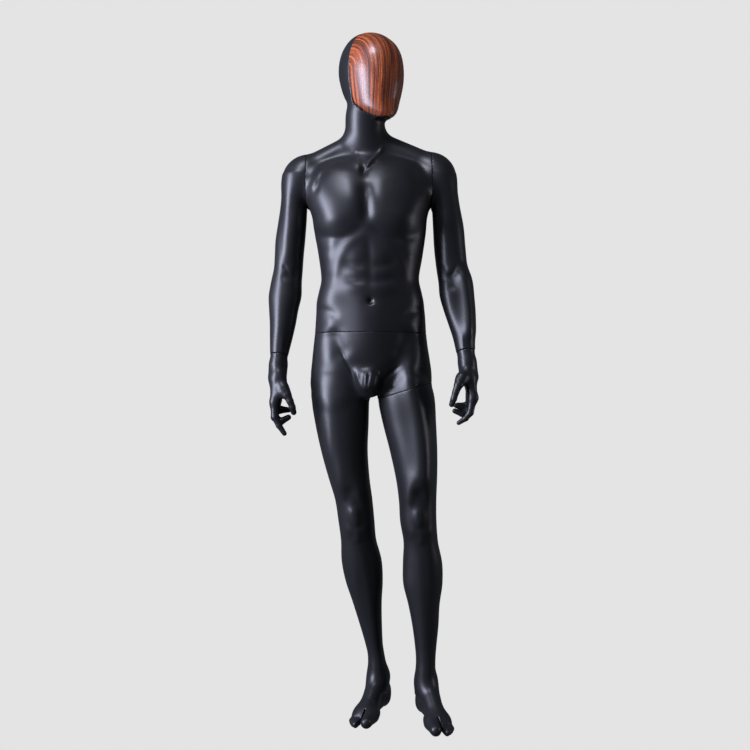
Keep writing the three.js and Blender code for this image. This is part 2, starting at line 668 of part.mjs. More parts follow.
// Magnets in pairs, one let into the head's seat and one into the back of the plate.
const MAGNET = { radius: 6, head: 3, plate: 1.5, sunk: 1.7 };
for (const [name, z] of [["upper", 1788], ["lower", 1684]]) {
  const front = inHead(0, 0, z);
  const skin = front.addScaledVector(faceForward, surfaceAlong(headField, front, faceForward, 200));
  const normal = headNormal(skin);
  const outFromMiddle = skin.clone().sub(headMiddle);
  const seatDepth = (FACE_PLATE_THICK / HEAD_MEAN_RADIUS) * outFromMiddle.dot(normal);
  const seatFace = skin.addScaledVector(normal, -seatDepth - MAGNET.sunk);
  const disc = (radius, low, high) =>
    pointed(turned([[0, low], [radius, low], [radius, high], [0, high]], 16), seatFace, normal);
  torso = torso.subtract(solid(disc(MAGNET.radius + GAP, -MAGNET.head - GAP, 8)));
  facePlate = facePlate.subtract(solid(disc(MAGNET.radius + GAP, -20, MAGNET.plate + 2 * GAP)));
  place(`head_magnet_${name}`, disc(MAGNET.radius, -MAGNET.head, 0), magnetNickel);
  place(`face_magnet_${name}`, disc(MAGNET.radius, GAP, GAP + MAGNET.plate), magnetNickel);
}

// ---------------------------------------------------------------------------------------------
// Pelvis with the right leg, and the left leg
// ---------------------------------------------------------------------------------------------
const foot = { right: footShapes(ANKLE.right), left: footShapes(ANKLE.left) };
const lowerShapes = [torsoStack, legStack.right, legStack.left];
const pelvisField = joined([...lowerShapes, groin]);
const onFloor = (field) => (x, y, z) => Math.max(field(x, y, z), -z);

const thighTilt = radians(THIGH_SEAM.tilt);
const thighUp = vector(-Math.sin(thighTilt), 0, Math.cos(thighTilt));
const thighAt = vector(THIGH_SEAM.x, THIGH_SEAM.y, THIGH_SEAM.z);
const onThighSeam = (x, y) => vector(x, y, THIGH_SEAM.z + (x - THIGH_SEAM.x) * Math.tan(thighTilt));
const CROTCH_X = 14;

// The centre line of a leg at height z.
function legCentre(side) {
  const rows = side === "right" ? R_LEG : L_LEG;
  return (z) => sectionAt(rows, z).slice(1, 3);
}

function footSolid(side) {
  const { turn } = ANKLE[side];
  const sign = ANKLE[side].side;
  const back = vector(-sign * Math.sin(radians(turn)), Math.cos(radians(turn)), 0);
  const across = vector(Math.cos(radians(turn)), sign * Math.sin(radians(turn)), 0);
  const stations = [
    [-57, 0, 30], [-49, 0, 30], [-30, 0, 30], [5, 0, 32], [42, 0, 28], [75, 2, 22],
    [104, 4, 18], [126, 4, 15], [146, 0, 12], [162, -8, 11], [177, -20, 12],
  ];
  const rings = stations.map(([a, b, z]) => ({ at: vector(...foot[side].at(a, b, z)), axis: back }));
  const field = onFloor(joined([legStack[side], ...foot[side].shapes]));
  const geometry = wrapped(field, rings, 14, 62, across);
  const spots = geometry.getAttribute("position");
  for (let i = 0; i < spots.count; i += 1) {
    if (spots.getZ(i) < 0.05) spots.setZ(i, 0);
  }
  return solid(geometry);
}

const shankHeights = [
  840, 785, 725, 660, 605, 565, 530, 495, 460, 425, 390, 350, 310, 265, 220, 175, 135, 100, 50,
];
const hollowShankHeights = [825, 750, 670, 590, 530, 470, 410, 350, 285, 210, 135];

const pelvisCentre = () => [-4, 12];
const pelvisHeights = [WAIST_Z + 10, 1012, 985, 955, 928, 905, 888, 874];
let pelvis = solid(wrapped(pelvisField, levelRings(pelvisHeights, pelvisCentre), 24));
const rightLegField = joined([...lowerShapes, ...foot.right.shapes]);
const keptRight = (field) => (x, y, z) => Math.max(field(x, y, z), z > 600 ? x - 2 : -1e3);
pelvis = pelvis.add(solid(wrapped(
  keptRight(rightLegField), levelRings([905, 875, ...shankHeights], legCentre("right")), 16, 130,
)));
pelvis = pelvis.add(footSolid("right"));

let lowerHollow = solid(wrapped(
  offsetField(pelvisField, WALL), levelRings([WAIST_Z + 20, 990, 935, 908], pelvisCentre), 12,
));
lowerHollow = lowerHollow.add(solid(wrapped(
  offsetField(keptRight(rightLegField), WALL + 1),
  levelRings([916, 890, 870, 850, ...hollowShankHeights], legCentre("right")), 12, 120,
)));
const belowThighSeam = halfSpace(thighAt.clone().addScaledVector(thighUp, GAP / 2), thighUp.clone().negate())
  .intersect(halfSpace(vector(CROTCH_X, 0, 0), vector(1, 0, 0)))
  .intersect(halfSpace(vector(0, 0, 500), UP));

const leftLegField = joined([...lowerShapes, ...foot.left.shapes]);
const keptLeft = (x, y, z) => Math.max(leftLegField(x, y, z), z > 600 ? CROTCH_X + GAP - x : -1e3);
// Rings that lean with the seam at the top and lie level by mid thigh.
function leaningRings(heights) {
  return heights.map((z) => {
    const lean = THREE.MathUtils.smoothstep(z, 780, 870);
    const [x, y] = legCentre("left")(z);
    return { at: vector(x, y, z), axis: UP.clone().lerp(thighUp, lean).normalize() };
  });
}
let leftLeg = solid(wrapped(keptLeft, leaningRings([903, 876, ...shankHeights]), 16, 130));
leftLeg = leftLeg.add(footSolid("left"));
// The leg's hollow, from one or more rings above its seam down to the shank.
function leftHollow(ringsAbove) {
  const rings = leaningRings([...ringsAbove, 898, 884, 870, ...hollowShankHeights]);
  return solid(wrapped(offsetField(keptLeft, WALL), rings, 10, 120));
}
// Just above its seam the thigh still belongs to the pelvis.
const thighTop = leftLeg.intersect(halfSpace(thighAt.clone().addScaledVector(thighUp, GAP / 2), thighUp));
pelvis = pelvis
  .intersect(halfSpace(vector(0, 0, WAIST_Z - GAP / 2), vector(0, 0, -1)))
  .subtract(belowThighSeam)
  .add(thighTop)
  .subtract(lowerHollow)
  .subtract(leftHollow([922, 910]).intersect(halfSpace(vector(0, 0, 800), UP)));
leftLeg = leftLeg
  .intersect(halfSpace(thighAt.clone().addScaledVector(thighUp, -GAP / 2), thighUp.clone().negate()))
  .subtract(leftHollow([912]));

// ---------------------------------------------------------------------------------------------
// Arms and hands
// ---------------------------------------------------------------------------------------------
// The arm's spine turns about the armpit, from the upright seam to level rings, and then runs down.
const ARMPIT = {
  right: { x: SHOULDER_X.right - 0.5, z: 1394 },
  left: { x: SHOULDER_X.left + 0.5, z: 1400 },
};
const SHOULDER_HALF = 62;
const armTurns = [14, 28, 42, 57, 73, 90];
const armHeights = [1365, 1320, 1270, 1228, 1190, 1150, 1105, 1060, 1015, 975, 945];
const hollowArmTurns = [7, 20, 42, 66, 90];
const hollowArmHeights = [1350, 1285, 1225, 1170, 1115, 1055, 1000, 950];
const ARM_WALL = 4;

function armSpine(side, starts, turns, heights) {
  const sign = side === "right" ? -1 : 1;
  const rows = side === "right" ? R_ARM : L_ARM;
  const armpit = ARMPIT[side];
  const rings = starts.map((distance) => ({
    at: vector(SHOULDER_X[side] + sign * distance, SHOULDER_AXIS.y, armpit.z + SHOULDER_HALF),
    axis: vector(-sign, 0, 0),
  }));
  for (const turn of turns) {
    const sin = Math.sin(radians(turn));
    const cos = Math.cos(radians(turn));
    const reach = THREE.MathUtils.lerp(SHOULDER_HALF, 40, turn / 90);
    rings.push({
      at: vector(armpit.x + sign * sin * reach, SHOULDER_AXIS.y, armpit.z + cos * reach),
      axis: vector(-sign * cos, 0, sin),
    });
  }
  for (const z of heights) {
    const [, x, y] = sectionAt(rows, z);
    rings.push({ at: vector(x, y, z), axis: UP });
  }
  return rings;
}

function armPieces(side) {
  const sign = side === "right" ? -1 : 1;
  const rows = side === "right" ? R_ARM : L_ARM;
  const seamX = SHOULDER_X[side];
  const armpit = ARMPIT[side];
  const outwards = vector(sign, 0, 0);
  const shapes = handShapes(HAND[side]);
  const shoulder = [
    shoulderSlope[side], stack(TORSO.filter(([z]) => z > 1380), 30), shoulderCap[side], armStack[side],
  ];
  const shoulderField = joined(shoulder);
  // The quarter below the armpit, on the body's side of it, is left free.
  const kept = (field) => (x, y, z) =>
    Math.max(field(x, y, z), Math.min(armpit.z - z, sign * (armpit.x - x)));
  const hand = HAND[side];
  const wrist = vector(WRIST_SEAM[side].x, WRIST_SEAM[side].y, WRIST_SEAM[side].z);
  const [, elbowX, elbowY] = sectionAt(rows, wrist.z + 60);
  const upArm = vector(elbowX, elbowY, wrist.z + 60).sub(wrist).normalize();
  const backwards = vector(0, 1, 0);

  const arm = solid(wrapped(
    kept(joined([...shoulder, ...shapes.palm])),
    armSpine(side, [GAP / 2], armTurns, armHeights), 14, 95, backwards,
  ));
  const hollow = solid(wrapped(
    offsetField(kept(shoulderField), ARM_WALL),
    armSpine(side, [-4, 0.3], hollowArmTurns, hollowArmHeights), 10, 95, backwards,
  ));
  const armShell = arm
    .intersect(halfSpace(wrist.clone().addScaledVector(upArm, GAP / 2), upArm))
    .subtract(hollow);

  const stations = [50, 22, 0, -26, -52, -74, -92];
  const cosTilt = Math.cos(radians(hand.tilt));
  const sinTilt = Math.sin(radians(hand.tilt));
  const handAxis = vector(sign * sinTilt, 0, cosTilt);
  const rings = stations.map((d) => ({
    at: d > 0
      ? vector(hand.x, hand.y, hand.z).addScaledVector(upArm, d)
      : vector(hand.x + sign * 3, hand.y, hand.z).addScaledVector(handAxis, d),
    axis: d > 0 ? upArm : handAxis,
  }));
  const palmField = joined([armStack[side], ...shapes.palm]);
  let handSolid = solid(wrapped(palmField, rings, 12, 60));
  for (const { points, radii } of shapes.fingers) {
    handSolid = handSolid.add(finger(points, radii));
  }
  handSolid = handSolid.intersect(halfSpace(wrist.clone().addScaledVector(upArm, -GAP / 2),
    upArm.clone().negate()));
  return {
    arm: armShell, handSolid, wrist, upArm, outwards, seamX, kept,
    aboveArmpit: (x, y, z) => Math.max(shoulderField(x, y, z), armpit.z - z),
    forearm: joined([armStack[side]]),
  };
}

// A bent finger: rings along its bones, closed by a blunt tip.
function finger(points, radii) {
  const bones = [];
  for (let i = 0; i < points.length - 1; i += 1) {
    bones.push(roundCone(points[i].toArray(), points[i + 1].toArray(), radii[i], radii[i + 1], 2));
  }
  const field = joined(bones);
  const spine = [];
  points.forEach((p, i) => {
    const before = points[Math.max(i - 1, 0)];
    const after = points[Math.min(i + 1, points.length - 1)];
    const axis = before.clone().sub(after).normalize();
    spine.push({ at: p.clone(), axis });
    if (i === points.length - 1) {
      spine.push({ at: p.clone().addScaledVector(axis, -radii[i] * 0.6), axis });
      spine.push({ at: p.clone().addScaledVector(axis, -radii[i] * 0.93), axis });
    } else {
      spine.push({ at: p.clone().lerp(after, 0.5), axis: p.clone().sub(after).normalize() });
    }
  });
  return solid(wrapped(field, spine, 6, 20, vector(0, 1, 0)));
}

// ---------------------------------------------------------------------------------------------
// Joints between the shells
// ---------------------------------------------------------------------------------------------
const waistPlane = (x, y) => vector(x, y, WAIST_Z);
fittingSide({
  cover: { field: trunkField, depth: WALL, at: waistPlane(...trunkCentre(WAIST_Z)), sectors: 12 },
  at: waistAt, inwards: UP, size: FITTING.waist, role: "peg",
  discName: "torso_waist_disc", plateName: "waist_peg_plate", screwName: "torso_waist_screw",
});
fittingSide({
  cover: { field: pelvisField, depth: WALL, at: waistPlane(...pelvisCentre()), sectors: 12 },
  at: waistAt, inwards: vector(0, 0, -1), size: FITTING.waist, role: "sleeve",
  discName: "pelvis_waist_disc", plateName: "waist_socket_plate", screwName: "pelvis_waist_screw",
});

const hands = {};
const arms = {};
for (const side of ["right", "left"]) {
  const made = armPieces(side);
  const at = vector(made.seamX, SHOULDER_AXIS.y, SHOULDER_AXIS.z);
  const inwards = made.outwards.clone().negate();
  const acrossArm = {
    at: vector(made.seamX, SHOULDER_AXIS.y, ARMPIT[side].z + SHOULDER_HALF),
    side: vector(0, 1, 0),
  };
  fittingSide({
    cover: { at, side: UP, field: made.kept(trunkField), depth: WALL, sectors: 10, reach: 58 },
    at, inwards, size: FITTING.shoulder, role: "sleeve",
    discName: `torso_${side}_shoulder_disc`, plateName: `${side}_shoulder_socket_plate`,
    screwName: `torso_${side}_shoulder_screw`,
  });
  fittingSide({
    cover: { ...acrossArm, field: made.aboveArmpit, depth: ARM_WALL, sectors: 10, reach: 95 },
    at, inwards: made.outwards, size: FITTING.shoulder, role: "peg",
    discName: `${side}_arm_disc`, plateName: `${side}_shoulder_peg_plate`, screwName: `${side}_arm_screw`,
  });
  const size = FITTING.wrist;
  fittingSide({
    cover: { field: made.forearm, depth: ARM_WALL, sectors: 10, side: vector(0, 1, 0), reach: 40 },
    at: made.wrist, inwards: made.upArm, size, role: "sleeve",
    discName: `${side}_wrist_disc`, plateName: `${side}_wrist_socket`,
  });
  const down = made.upArm.clone().negate();
  const peg = turned([
    [0, -size.length], [size.peg - 1, -size.length], [size.peg, -size.length + 1], [size.peg, size.length],
    [size.peg + 3, size.length], [size.peg + 3, size.length + 4], [0, size.length + 4],
  ], size.sectors);
  const bore = turned([
    [0, -1], [size.peg + GAP, -1], [size.peg + GAP, size.length - GAP], [size.peg + 3 + GAP, size.length - GAP],
    [size.peg + 3 + GAP, size.length + 4 + GAP], [0, size.length + 4 + GAP],
  ], size.sectors);
  arms[side] = made.arm;
  hands[side] = made.handSolid.subtract(solid(pointed(bore, made.wrist, down)));
  place(`${side}_wrist_peg`, pointed(peg, made.wrist, down), zincSteel);
}

const thighCover = {
  field: keptLeft, depth: WALL, sectors: 10, reach: 120,
  at: onThighSeam(...legCentre("left")(THIGH_SEAM.z)),
};
fittingSide({
  cover: thighCover, at: thighAt, inwards: thighUp, size: FITTING.thigh, role: "sleeve",
  discName: "pelvis_thigh_disc", plateName: "thigh_socket_plate", screwName: "pelvis_thigh_screw",
});
fittingSide({
  cover: thighCover, at: thighAt, inwards: thighUp.clone().negate(), size: FITTING.thigh, role: "peg",
  discName: "left_leg_disc", plateName: "thigh_peg_plate", screwName: "left_leg_screw",
});

place("upper_torso_shell", geometryOf(mainBody(torso)), shellPaint);
place("face_plate", geometryOf(mainBody(facePlate)), woodLacquer);
place("pelvis_right_leg_shell", geometryOf(mainBody(pelvis)), shellPaint);
place("left_leg_shell", geometryOf(mainBody(leftLeg)), shellPaint);
for (const side of ["right", "left"]) {
  place(`${side}_arm_shell`, geometryOf(mainBody(arms[side])), shellPaint);
  place(`${side}_hand`, geometryOf(mainBody(hands[side])), shellPaint);
}

// The origin comes to the floor under the middle of the whole figure.
for (const mesh of mannequin.children) mesh.geometry.translate(CENTRE.x, CENTRE.y, 0);

export default mannequin;
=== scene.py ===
import itertools
import math
import bpy
import numpy as np
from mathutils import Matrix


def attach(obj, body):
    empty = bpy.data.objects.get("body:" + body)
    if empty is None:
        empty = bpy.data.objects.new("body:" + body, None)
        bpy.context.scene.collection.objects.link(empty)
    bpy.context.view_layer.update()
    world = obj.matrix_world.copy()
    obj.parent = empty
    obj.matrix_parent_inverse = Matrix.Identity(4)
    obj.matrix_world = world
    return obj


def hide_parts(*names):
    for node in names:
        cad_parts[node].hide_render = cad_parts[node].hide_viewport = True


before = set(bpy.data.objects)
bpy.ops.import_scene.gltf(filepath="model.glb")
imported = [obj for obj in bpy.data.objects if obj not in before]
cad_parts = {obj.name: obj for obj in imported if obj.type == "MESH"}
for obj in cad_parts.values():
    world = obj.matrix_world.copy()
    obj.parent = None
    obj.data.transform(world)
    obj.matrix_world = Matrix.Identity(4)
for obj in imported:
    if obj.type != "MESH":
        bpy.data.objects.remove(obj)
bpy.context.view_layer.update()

# The figure's shape is worked out in millimetres, +Z up, front -Y, and moved to the row frame at the end.
CENTRE = np.array([4.0, 17.0, 0.0])

WAIST_Z = 1041.0
GAP = 0.3
# The body's skins stand this much outside their section tables.
FILL = 0.8
WALL = 6.0
SHOULDER_X = {"right": -182.0, "left": 157.5}
THIGH_SEAM = {"x": 91.0, "z": 889.0, "tilt": 16.5}
CROTCH_X = 14.0
WRIST = {"right": ((-255.0, -36.0, 981.0), (0.1039, 0.2059, 0.9730)),
         "left": ((248.5, -34.0, 992.0), (-0.1483, 0.2091, 0.9666))}
# How far the shells are hollow behind each seam; past that nobody can see in.
HOLLOW = {"above waist": 70, "below waist": 62, "thigh": 60, "inside shoulder": 48, "arm at shoulder": 40,
          "arm at wrist": 44}
# Holes in a hand, measured down from its seam: the peg's, and a wider one for its socket.
PEG_HOLE = {"radius": 5.5, "deep": 23.0}
SOCKET_HOLE = {"radius": 8.6, "from": 21.5, "to": 27.0}
# Grid cells are this thin where a seam's flat face lies.
SEAM_CELL = 0.4

HEAD_YAW = 35.0
HEAD_AXIS = (-6.0, 2.0)
HEAD_MIDDLE_Z = 1745.0
PLATE = 3.5
# The plate's edge: upright, this far ahead of the head's axis, then curving forward below "bend" to the chin.
FACE_EDGE = {"ahead": 4.0, "bend": 1695.0, "drop": 84.0, "chin": 75.0, "power": 3.5, "low": 1610.0}
# The grain's position on the plate, in metres: across by angle round the head, along by height.
GRAIN = {"across": 0.09, "along": 0.11, "half height": 112, "core": 12}

# ===== Body sections: height, centre x, centre y, half width, front, back, exponent =====
TORSO = [
    (1545, -18, 26, 50, 26, 34, 2.0), (1520, -15, 22, 96, 52, 52, 2.1), (1497, -12, 18, 134, 78, 66, 2.2),
    (1470, -11, 12, 160, 90, 82, 2.3), (1430, -11, 6, 170, 102, 98, 2.4), (1389, -11, 2, 164, 112, 106, 2.4),
    (1350, -9, 0, 153, 114, 108, 2.4), (1313, -9, 0, 150, 111, 106, 2.35), (1275, -8, 0, 144, 106, 101, 2.3),
    (1237, -8, 0, 138, 101, 94, 2.3), (1199, -9, 0, 132, 97, 88, 2.3), (1178, -9, 0, 132, 96, 86, 2.3),
    (1150, -9, 0, 138, 97, 86, 2.3), (1123, -9, 2, 144, 99, 87, 2.35), (1090, -8, 4, 147, 102, 90, 2.4),
    (1044, -8, 6, 150, 106, 95, 2.4), (1008, -8, 8, 154, 106, 103, 2.4), (970, -7, 10, 159, 103, 113, 2.4),
    (932, -6, 12, 163, 97, 118, 2.4), (905, -5, 13, 161, 86, 112, 2.4), (880, -4, 13, 150, 70, 98, 2.3),
]
NECK = [
    (1690, -14, -4, 48, 50, 60, 2.0), (1640, -22, 0, 52, 56, 60, 2.0), (1600, -23, 6, 53, 56, 58, 2.0),
    (1560, -22, 14, 54, 55, 57, 2.0), (1530, -20, 20, 58, 54, 58, 2.0), (1490, -16, 26, 66, 52, 58, 2.1),
]
# Both legs below the thighs: height, the right one's centre and half width, the left one's, front, back.
LOWER_LEGS = [
    (647, -66, 8, 54.5, 116, -13, 54.5, 70, 68), (590, -54, 12, 50, 119, -16, 49.8, 63, 60),
    (533, -47, 16, 48.5, 121, -15, 48.3, 60, 54), (476, -41, 24, 47.5, 128, -9, 46, 54, 56),
    (419, -33, 34, 54, 133, -3, 52.5, 52, 66), (362, -26, 42, 50.5, 134, 1, 52.5, 49, 64),
    (305, -18, 49, 40, 137, 4, 42, 44, 55), (248, -9, 54, 31.5, 141, 5, 35, 38, 46),
    (191, 1, 58, 25, 142, 6, 28.5, 34, 40), (153, 8, 60, 23.5, 142, 7, 25.8, 35, 37),
    (110, 11, 60, 26, 141, 8, 27, 38, 38), (60, 13, 62, 27, 140, 10, 27, 36, 40),
]
R_LEG = [
    (930, -86, 10, 62, 66, 80, 2.3), (900, -88, 10, 74, 80, 94, 2.4), (862, -90, 9, 77, 87, 98, 2.3),
    (799, -86, 8, 72, 86, 88, 2.25), (723, -79, 6, 62.5, 79, 78, 2.25),
] + [(z, x, y, half, front, back, 2.1) for z, x, y, half, _, _, _, front, back in LOWER_LEGS]
L_LEG = [
    (972, 70, 9, 46, 64, 62, 2.2), (930, 80, 8, 64, 83, 82, 2.2), (896, 84, 7, 74, 90, 94, 2.2),
    (862, 89, 4, 76.5, 90, 96, 2.2), (799, 97, 0, 71.5, 85, 87, 2.15), (723, 108, -7, 63, 79, 78, 2.1),
] + [(z, x, y, half, front, back, 2.1) for z, _, _, _, x, y, half, front, back in LOWER_LEGS]
# The arms' exponent is 2.1 all the way.
R_ARM = [
    (1470, -205, 14, 38, 46, 46), (1430, -212, 14, 37, 51, 50), (1389, -217, 14, 36, 51, 50),
    (1340, -222, 13, 38, 50, 49), (1294, -227, 12, 39.5, 48, 48), (1250, -230, 11, 38.5, 46, 45),
    (1218, -232, 9, 38.5, 44, 42), (1180, -237, 5, 41, 43, 42), (1142, -240, -1, 43.5, 44, 43),
    (1104, -243, -9, 38.5, 43, 42), (1066, -244.5, -18, 34, 41, 39), (1028, -248, -26, 29.5, 37, 35),
    (990, -252, -34, 24.5, 33, 31), (951, -255, -42, 18.5, 29, 28), (925, -257, -46, 17, 28, 27),
]
L_ARM = [
    (1470, 181, 14, 38, 46, 46), (1430, 190, 14, 38, 51, 50), (1389, 197, 14, 37.5, 51, 50),
    (1332, 204, 13, 41, 50, 49), (1275, 208, 12, 42, 48, 47), (1218, 214, 9, 42, 44, 42),
    (1180, 222, 5, 44.5, 38, 42), (1142, 225, -1, 44.5, 37, 43), (1104, 231, -9, 40.5, 36, 42),
    (1066, 237, -18, 34.5, 36, 39), (1028, 243, -26, 28.7, 35, 35), (990, 247, -34, 24.5, 33, 31),
    (951, 248.5, -42, 18, 29, 28), (925, 250, -46, 17, 28, 27),
]
R_ARM, L_ARM = ([(*row, 2.1) for row in table] for table in (R_ARM, L_ARM))
HEAD = [
    (1858, 0, 12, 12, 14, 18, 2.0), (1850, 0, 12, 34, 40, 46, 2.0), (1838, 0, 10, 50, 60, 67, 2.05),
    (1815, 0, 7, 65, 84, 88, 2.1), (1785, 0, 5, 74, 99, 99, 2.15), (1750, 0, 2, 77, 102, 101, 2.2),
    (1715, 0, 0, 74, 102, 92, 2.2), (1685, 0, -4, 68, 93, 82, 2.2), (1660, 0, -11, 61, 80, 69, 2.15),
    (1640, 0, -19, 52, 72, 59, 2.1), (1625, 0, -30, 38, 62, 44, 2.05), (1615, 0, -38, 22, 50, 32, 2.0),
]


# ===== Shapes as distance fields on a grid =====
def turned(degrees):
    """The cosine and the sine of a turn."""
    return math.cos(math.radians(degrees)), math.sin(math.radians(degrees))


def smoothstep(v, low, high):
    t = np.clip((v - low) / (high - low), 0, 1)
    return t * t * (3 - 2 * t)


def section_at(z, table):
    """Every column of a section table at the heights z, by a cubic through the rows."""
    rows = np.array(sorted(table), float)
    heights, values = rows[:, 0], rows[:, 1:]
    slopes = np.gradient(values, heights, axis=0)
    slopes[1:-1] = (values[2:] - values[:-2]) / (heights[2:] - heights[:-2])[:, None]
    zc = np.clip(z, heights[0], heights[-1])
    i = np.clip(np.searchsorted(heights, zc) - 1, 0, len(heights) - 2)
    span = (heights[i + 1] - heights[i])[..., None]
    s = (zc - heights[i])[..., None] / span
    low = 1 - 3 * s**2 + 2 * s**3
    return (low * values[i] + (1 - low) * values[i + 1]
            + span * ((s - 2 * s**2 + s**3) * slopes[i] + (s**3 - s**2) * slopes[i + 1]))


class Stack:
    """A stack of superellipse sections; yaw turns them all about a vertical axis."""

    def __init__(self, table, blend, yaw=0.0, axis=(0.0, 0.0)):
        self.table, self.blend, self.yaw, self.axis = table, blend, yaw, axis
        rows = np.array(table, float)
        self.bottom, self.top = rows[:, 0].min(), rows[:, 0].max()
        reach = rows[:, 3:6].max() + (30 if yaw else 10)
        low, high = (axis, axis) if yaw else (rows[:, 1:3].min(0), rows[:, 1:3].max(0))
        self.low = np.array([low[0] - reach, low[1] - reach, self.bottom - 5])
        self.high = np.array([high[0] + reach, high[1] + reach, self.top + 5])

    def distance(self, x, y, z):
        cx, cy, half, front, back, power = np.moveaxis(section_at(z, self.table), -1, 0)
        if self.yaw:
            dx, dy = x - self.axis[0], y - self.axis[1]
            c, s = turned(self.yaw)
            x, y = c * dx + s * dy, -s * dx + c * dy
        dx, dy = x - cx, y - cy
        depth = np.where(dy < 0, front, back)
        g = ((np.abs(dx) / half) ** power + (np.abs(dy) / depth) ** power) ** (1 / power)
        reach = np.hypot(dx, dy)
        narrow = np.minimum(half, np.minimum(front, back))
        radial = np.where(g > 0.15, reach - reach / np.maximum(g, 1e-6), (g - 1) * narrow)
        over = np.maximum(np.maximum(self.bottom - z, z - self.top), 0)
        capped = np.hypot(np.maximum(radial, 0), over) + np.minimum(np.maximum(radial, over), 0)
        return np.where(over > 0, capped, radial)


class Ball:
    """An ellipsoid; yaw turns it about a vertical axis."""

    def __init__(self, centre, radii, blend, yaw=0.0):
        self.c, self.r, self.blend = np.array(centre, float), np.array(radii, float), blend
        self.cos, self.sin = turned(yaw)
        reach = self.r.max()
        self.low, self.high = self.c - reach, self.c + reach

    def distance(self, x, y, z):
        dx, dy = x - self.c[0], y - self.c[1]
        a, b, c = self.cos * dx + self.sin * dy, -self.sin * dx + self.cos * dy, z - self.c[2]
        r = self.r
        k0 = np.sqrt((a / r[0]) ** 2 + (b / r[1]) ** 2 + (c / r[2]) ** 2)
        k1 = np.sqrt((a / r[0]**2) ** 2 + (b / r[1]**2) ** 2 + (c / r[2]**2) ** 2)
        return np.where(k0 < 1e-3, -r.min(), k0 * (k0 - 1) / np.maximum(k1, 1e-9))


class Cone:
    """A cone with round ends."""

    def __init__(self, start, end, r0, r1, blend):
        self.a, self.b = np.array(start, float), np.array(end, float)
        self.r0, self.r1, self.blend = r0, r1, blend
        self.low = np.minimum(self.a - r0, self.b - r1)
        self.high = np.maximum(self.a + r0, self.b + r1)

    def distance(self, x, y, z):
        ba = self.b - self.a
        l2 = ba @ ba
        rr = self.r0 - self.r1
        a2 = l2 - rr * rr
        px, py, pz = x - self.a[0], y - self.a[1], z - self.a[2]
        along = px * ba[0] + py * ba[1] + pz * ba[2]
        past = along - l2
        x2 = ((px * l2 - ba[0] * along) ** 2 + (py * l2 - ba[1] * along) ** 2
              + (pz * l2 - ba[2] * along) ** 2)
        y2, z2 = along * along * l2, past * past * l2
        k = np.sign(rr) * rr * rr * x2
        tip = np.sqrt(x2 + z2) / l2 - self.r1
        root = np.sqrt(x2 + y2) / l2 - self.r0
        side = (np.sqrt(x2 * a2 / l2) + along * rr) / l2 - self.r0
        return np.where(np.sign(past) * a2 * z2 > k, tip, np.where(np.sign(along) * a2 * y2 < k, root, side))


def spaced(*runs):
    """Grid positions from (start, stop, step) runs that follow each other."""
    parts = [np.arange(a, b - step * 0.4, step) for a, b, step in runs]
    return np.concatenate(parts + [[runs[-1][1]]])


# The most that a grid's tilt moves a level.
TILT_REACH = 26


class Grid:
    """A field of signed distances on a block of points, negative inside.

    tilt raises the levels near one height with x, so that a sloping cut can lie along them.
    """

    def __init__(self, xs, ys, zs, tilt=None):
        self.axes = [xs, ys, zs]
        self.tilt = tilt or (lambda x, z: 0 * x * z)
        self.v = np.full([len(a) for a in self.axes], 60.0)
        self.x, self.y = xs[:, None, None], ys[None, :, None]
        self.z = zs[None, None, :] + self.tilt(self.x, zs[None, None, :])

    def add(self, *shapes, pad=28.0):
        for shape in shapes:
            ends = zip(self.axes, shape.low - pad, shape.high + pad, (0, 0, TILT_REACH))
            part = tuple(slice(np.searchsorted(a, low - extra), np.searchsorted(a, high + extra) + 1)
                         for a, low, high, extra in ends)
            d = shape.distance(self.x[part[0]], self.y[:, part[1]], self.z[part[0]][:, :, part[2]])
            a, k = self.v[part], shape.blend
            h = np.maximum(k - np.abs(a - d), 0) / k
            self.v[part] = np.minimum(a, d) - h * h * k * 0.25

    def keep(self, distance):
        self.v = np.maximum(self.v, distance)

    def cut(self, distance):
        self.keep(-distance)

    def surface(self):
        verts, quads = surface_nets(self.v, self.axes)
        verts[:, 2] += self.tilt(verts[:, 0], verts[:, 2])
        return main_part(verts, quads)


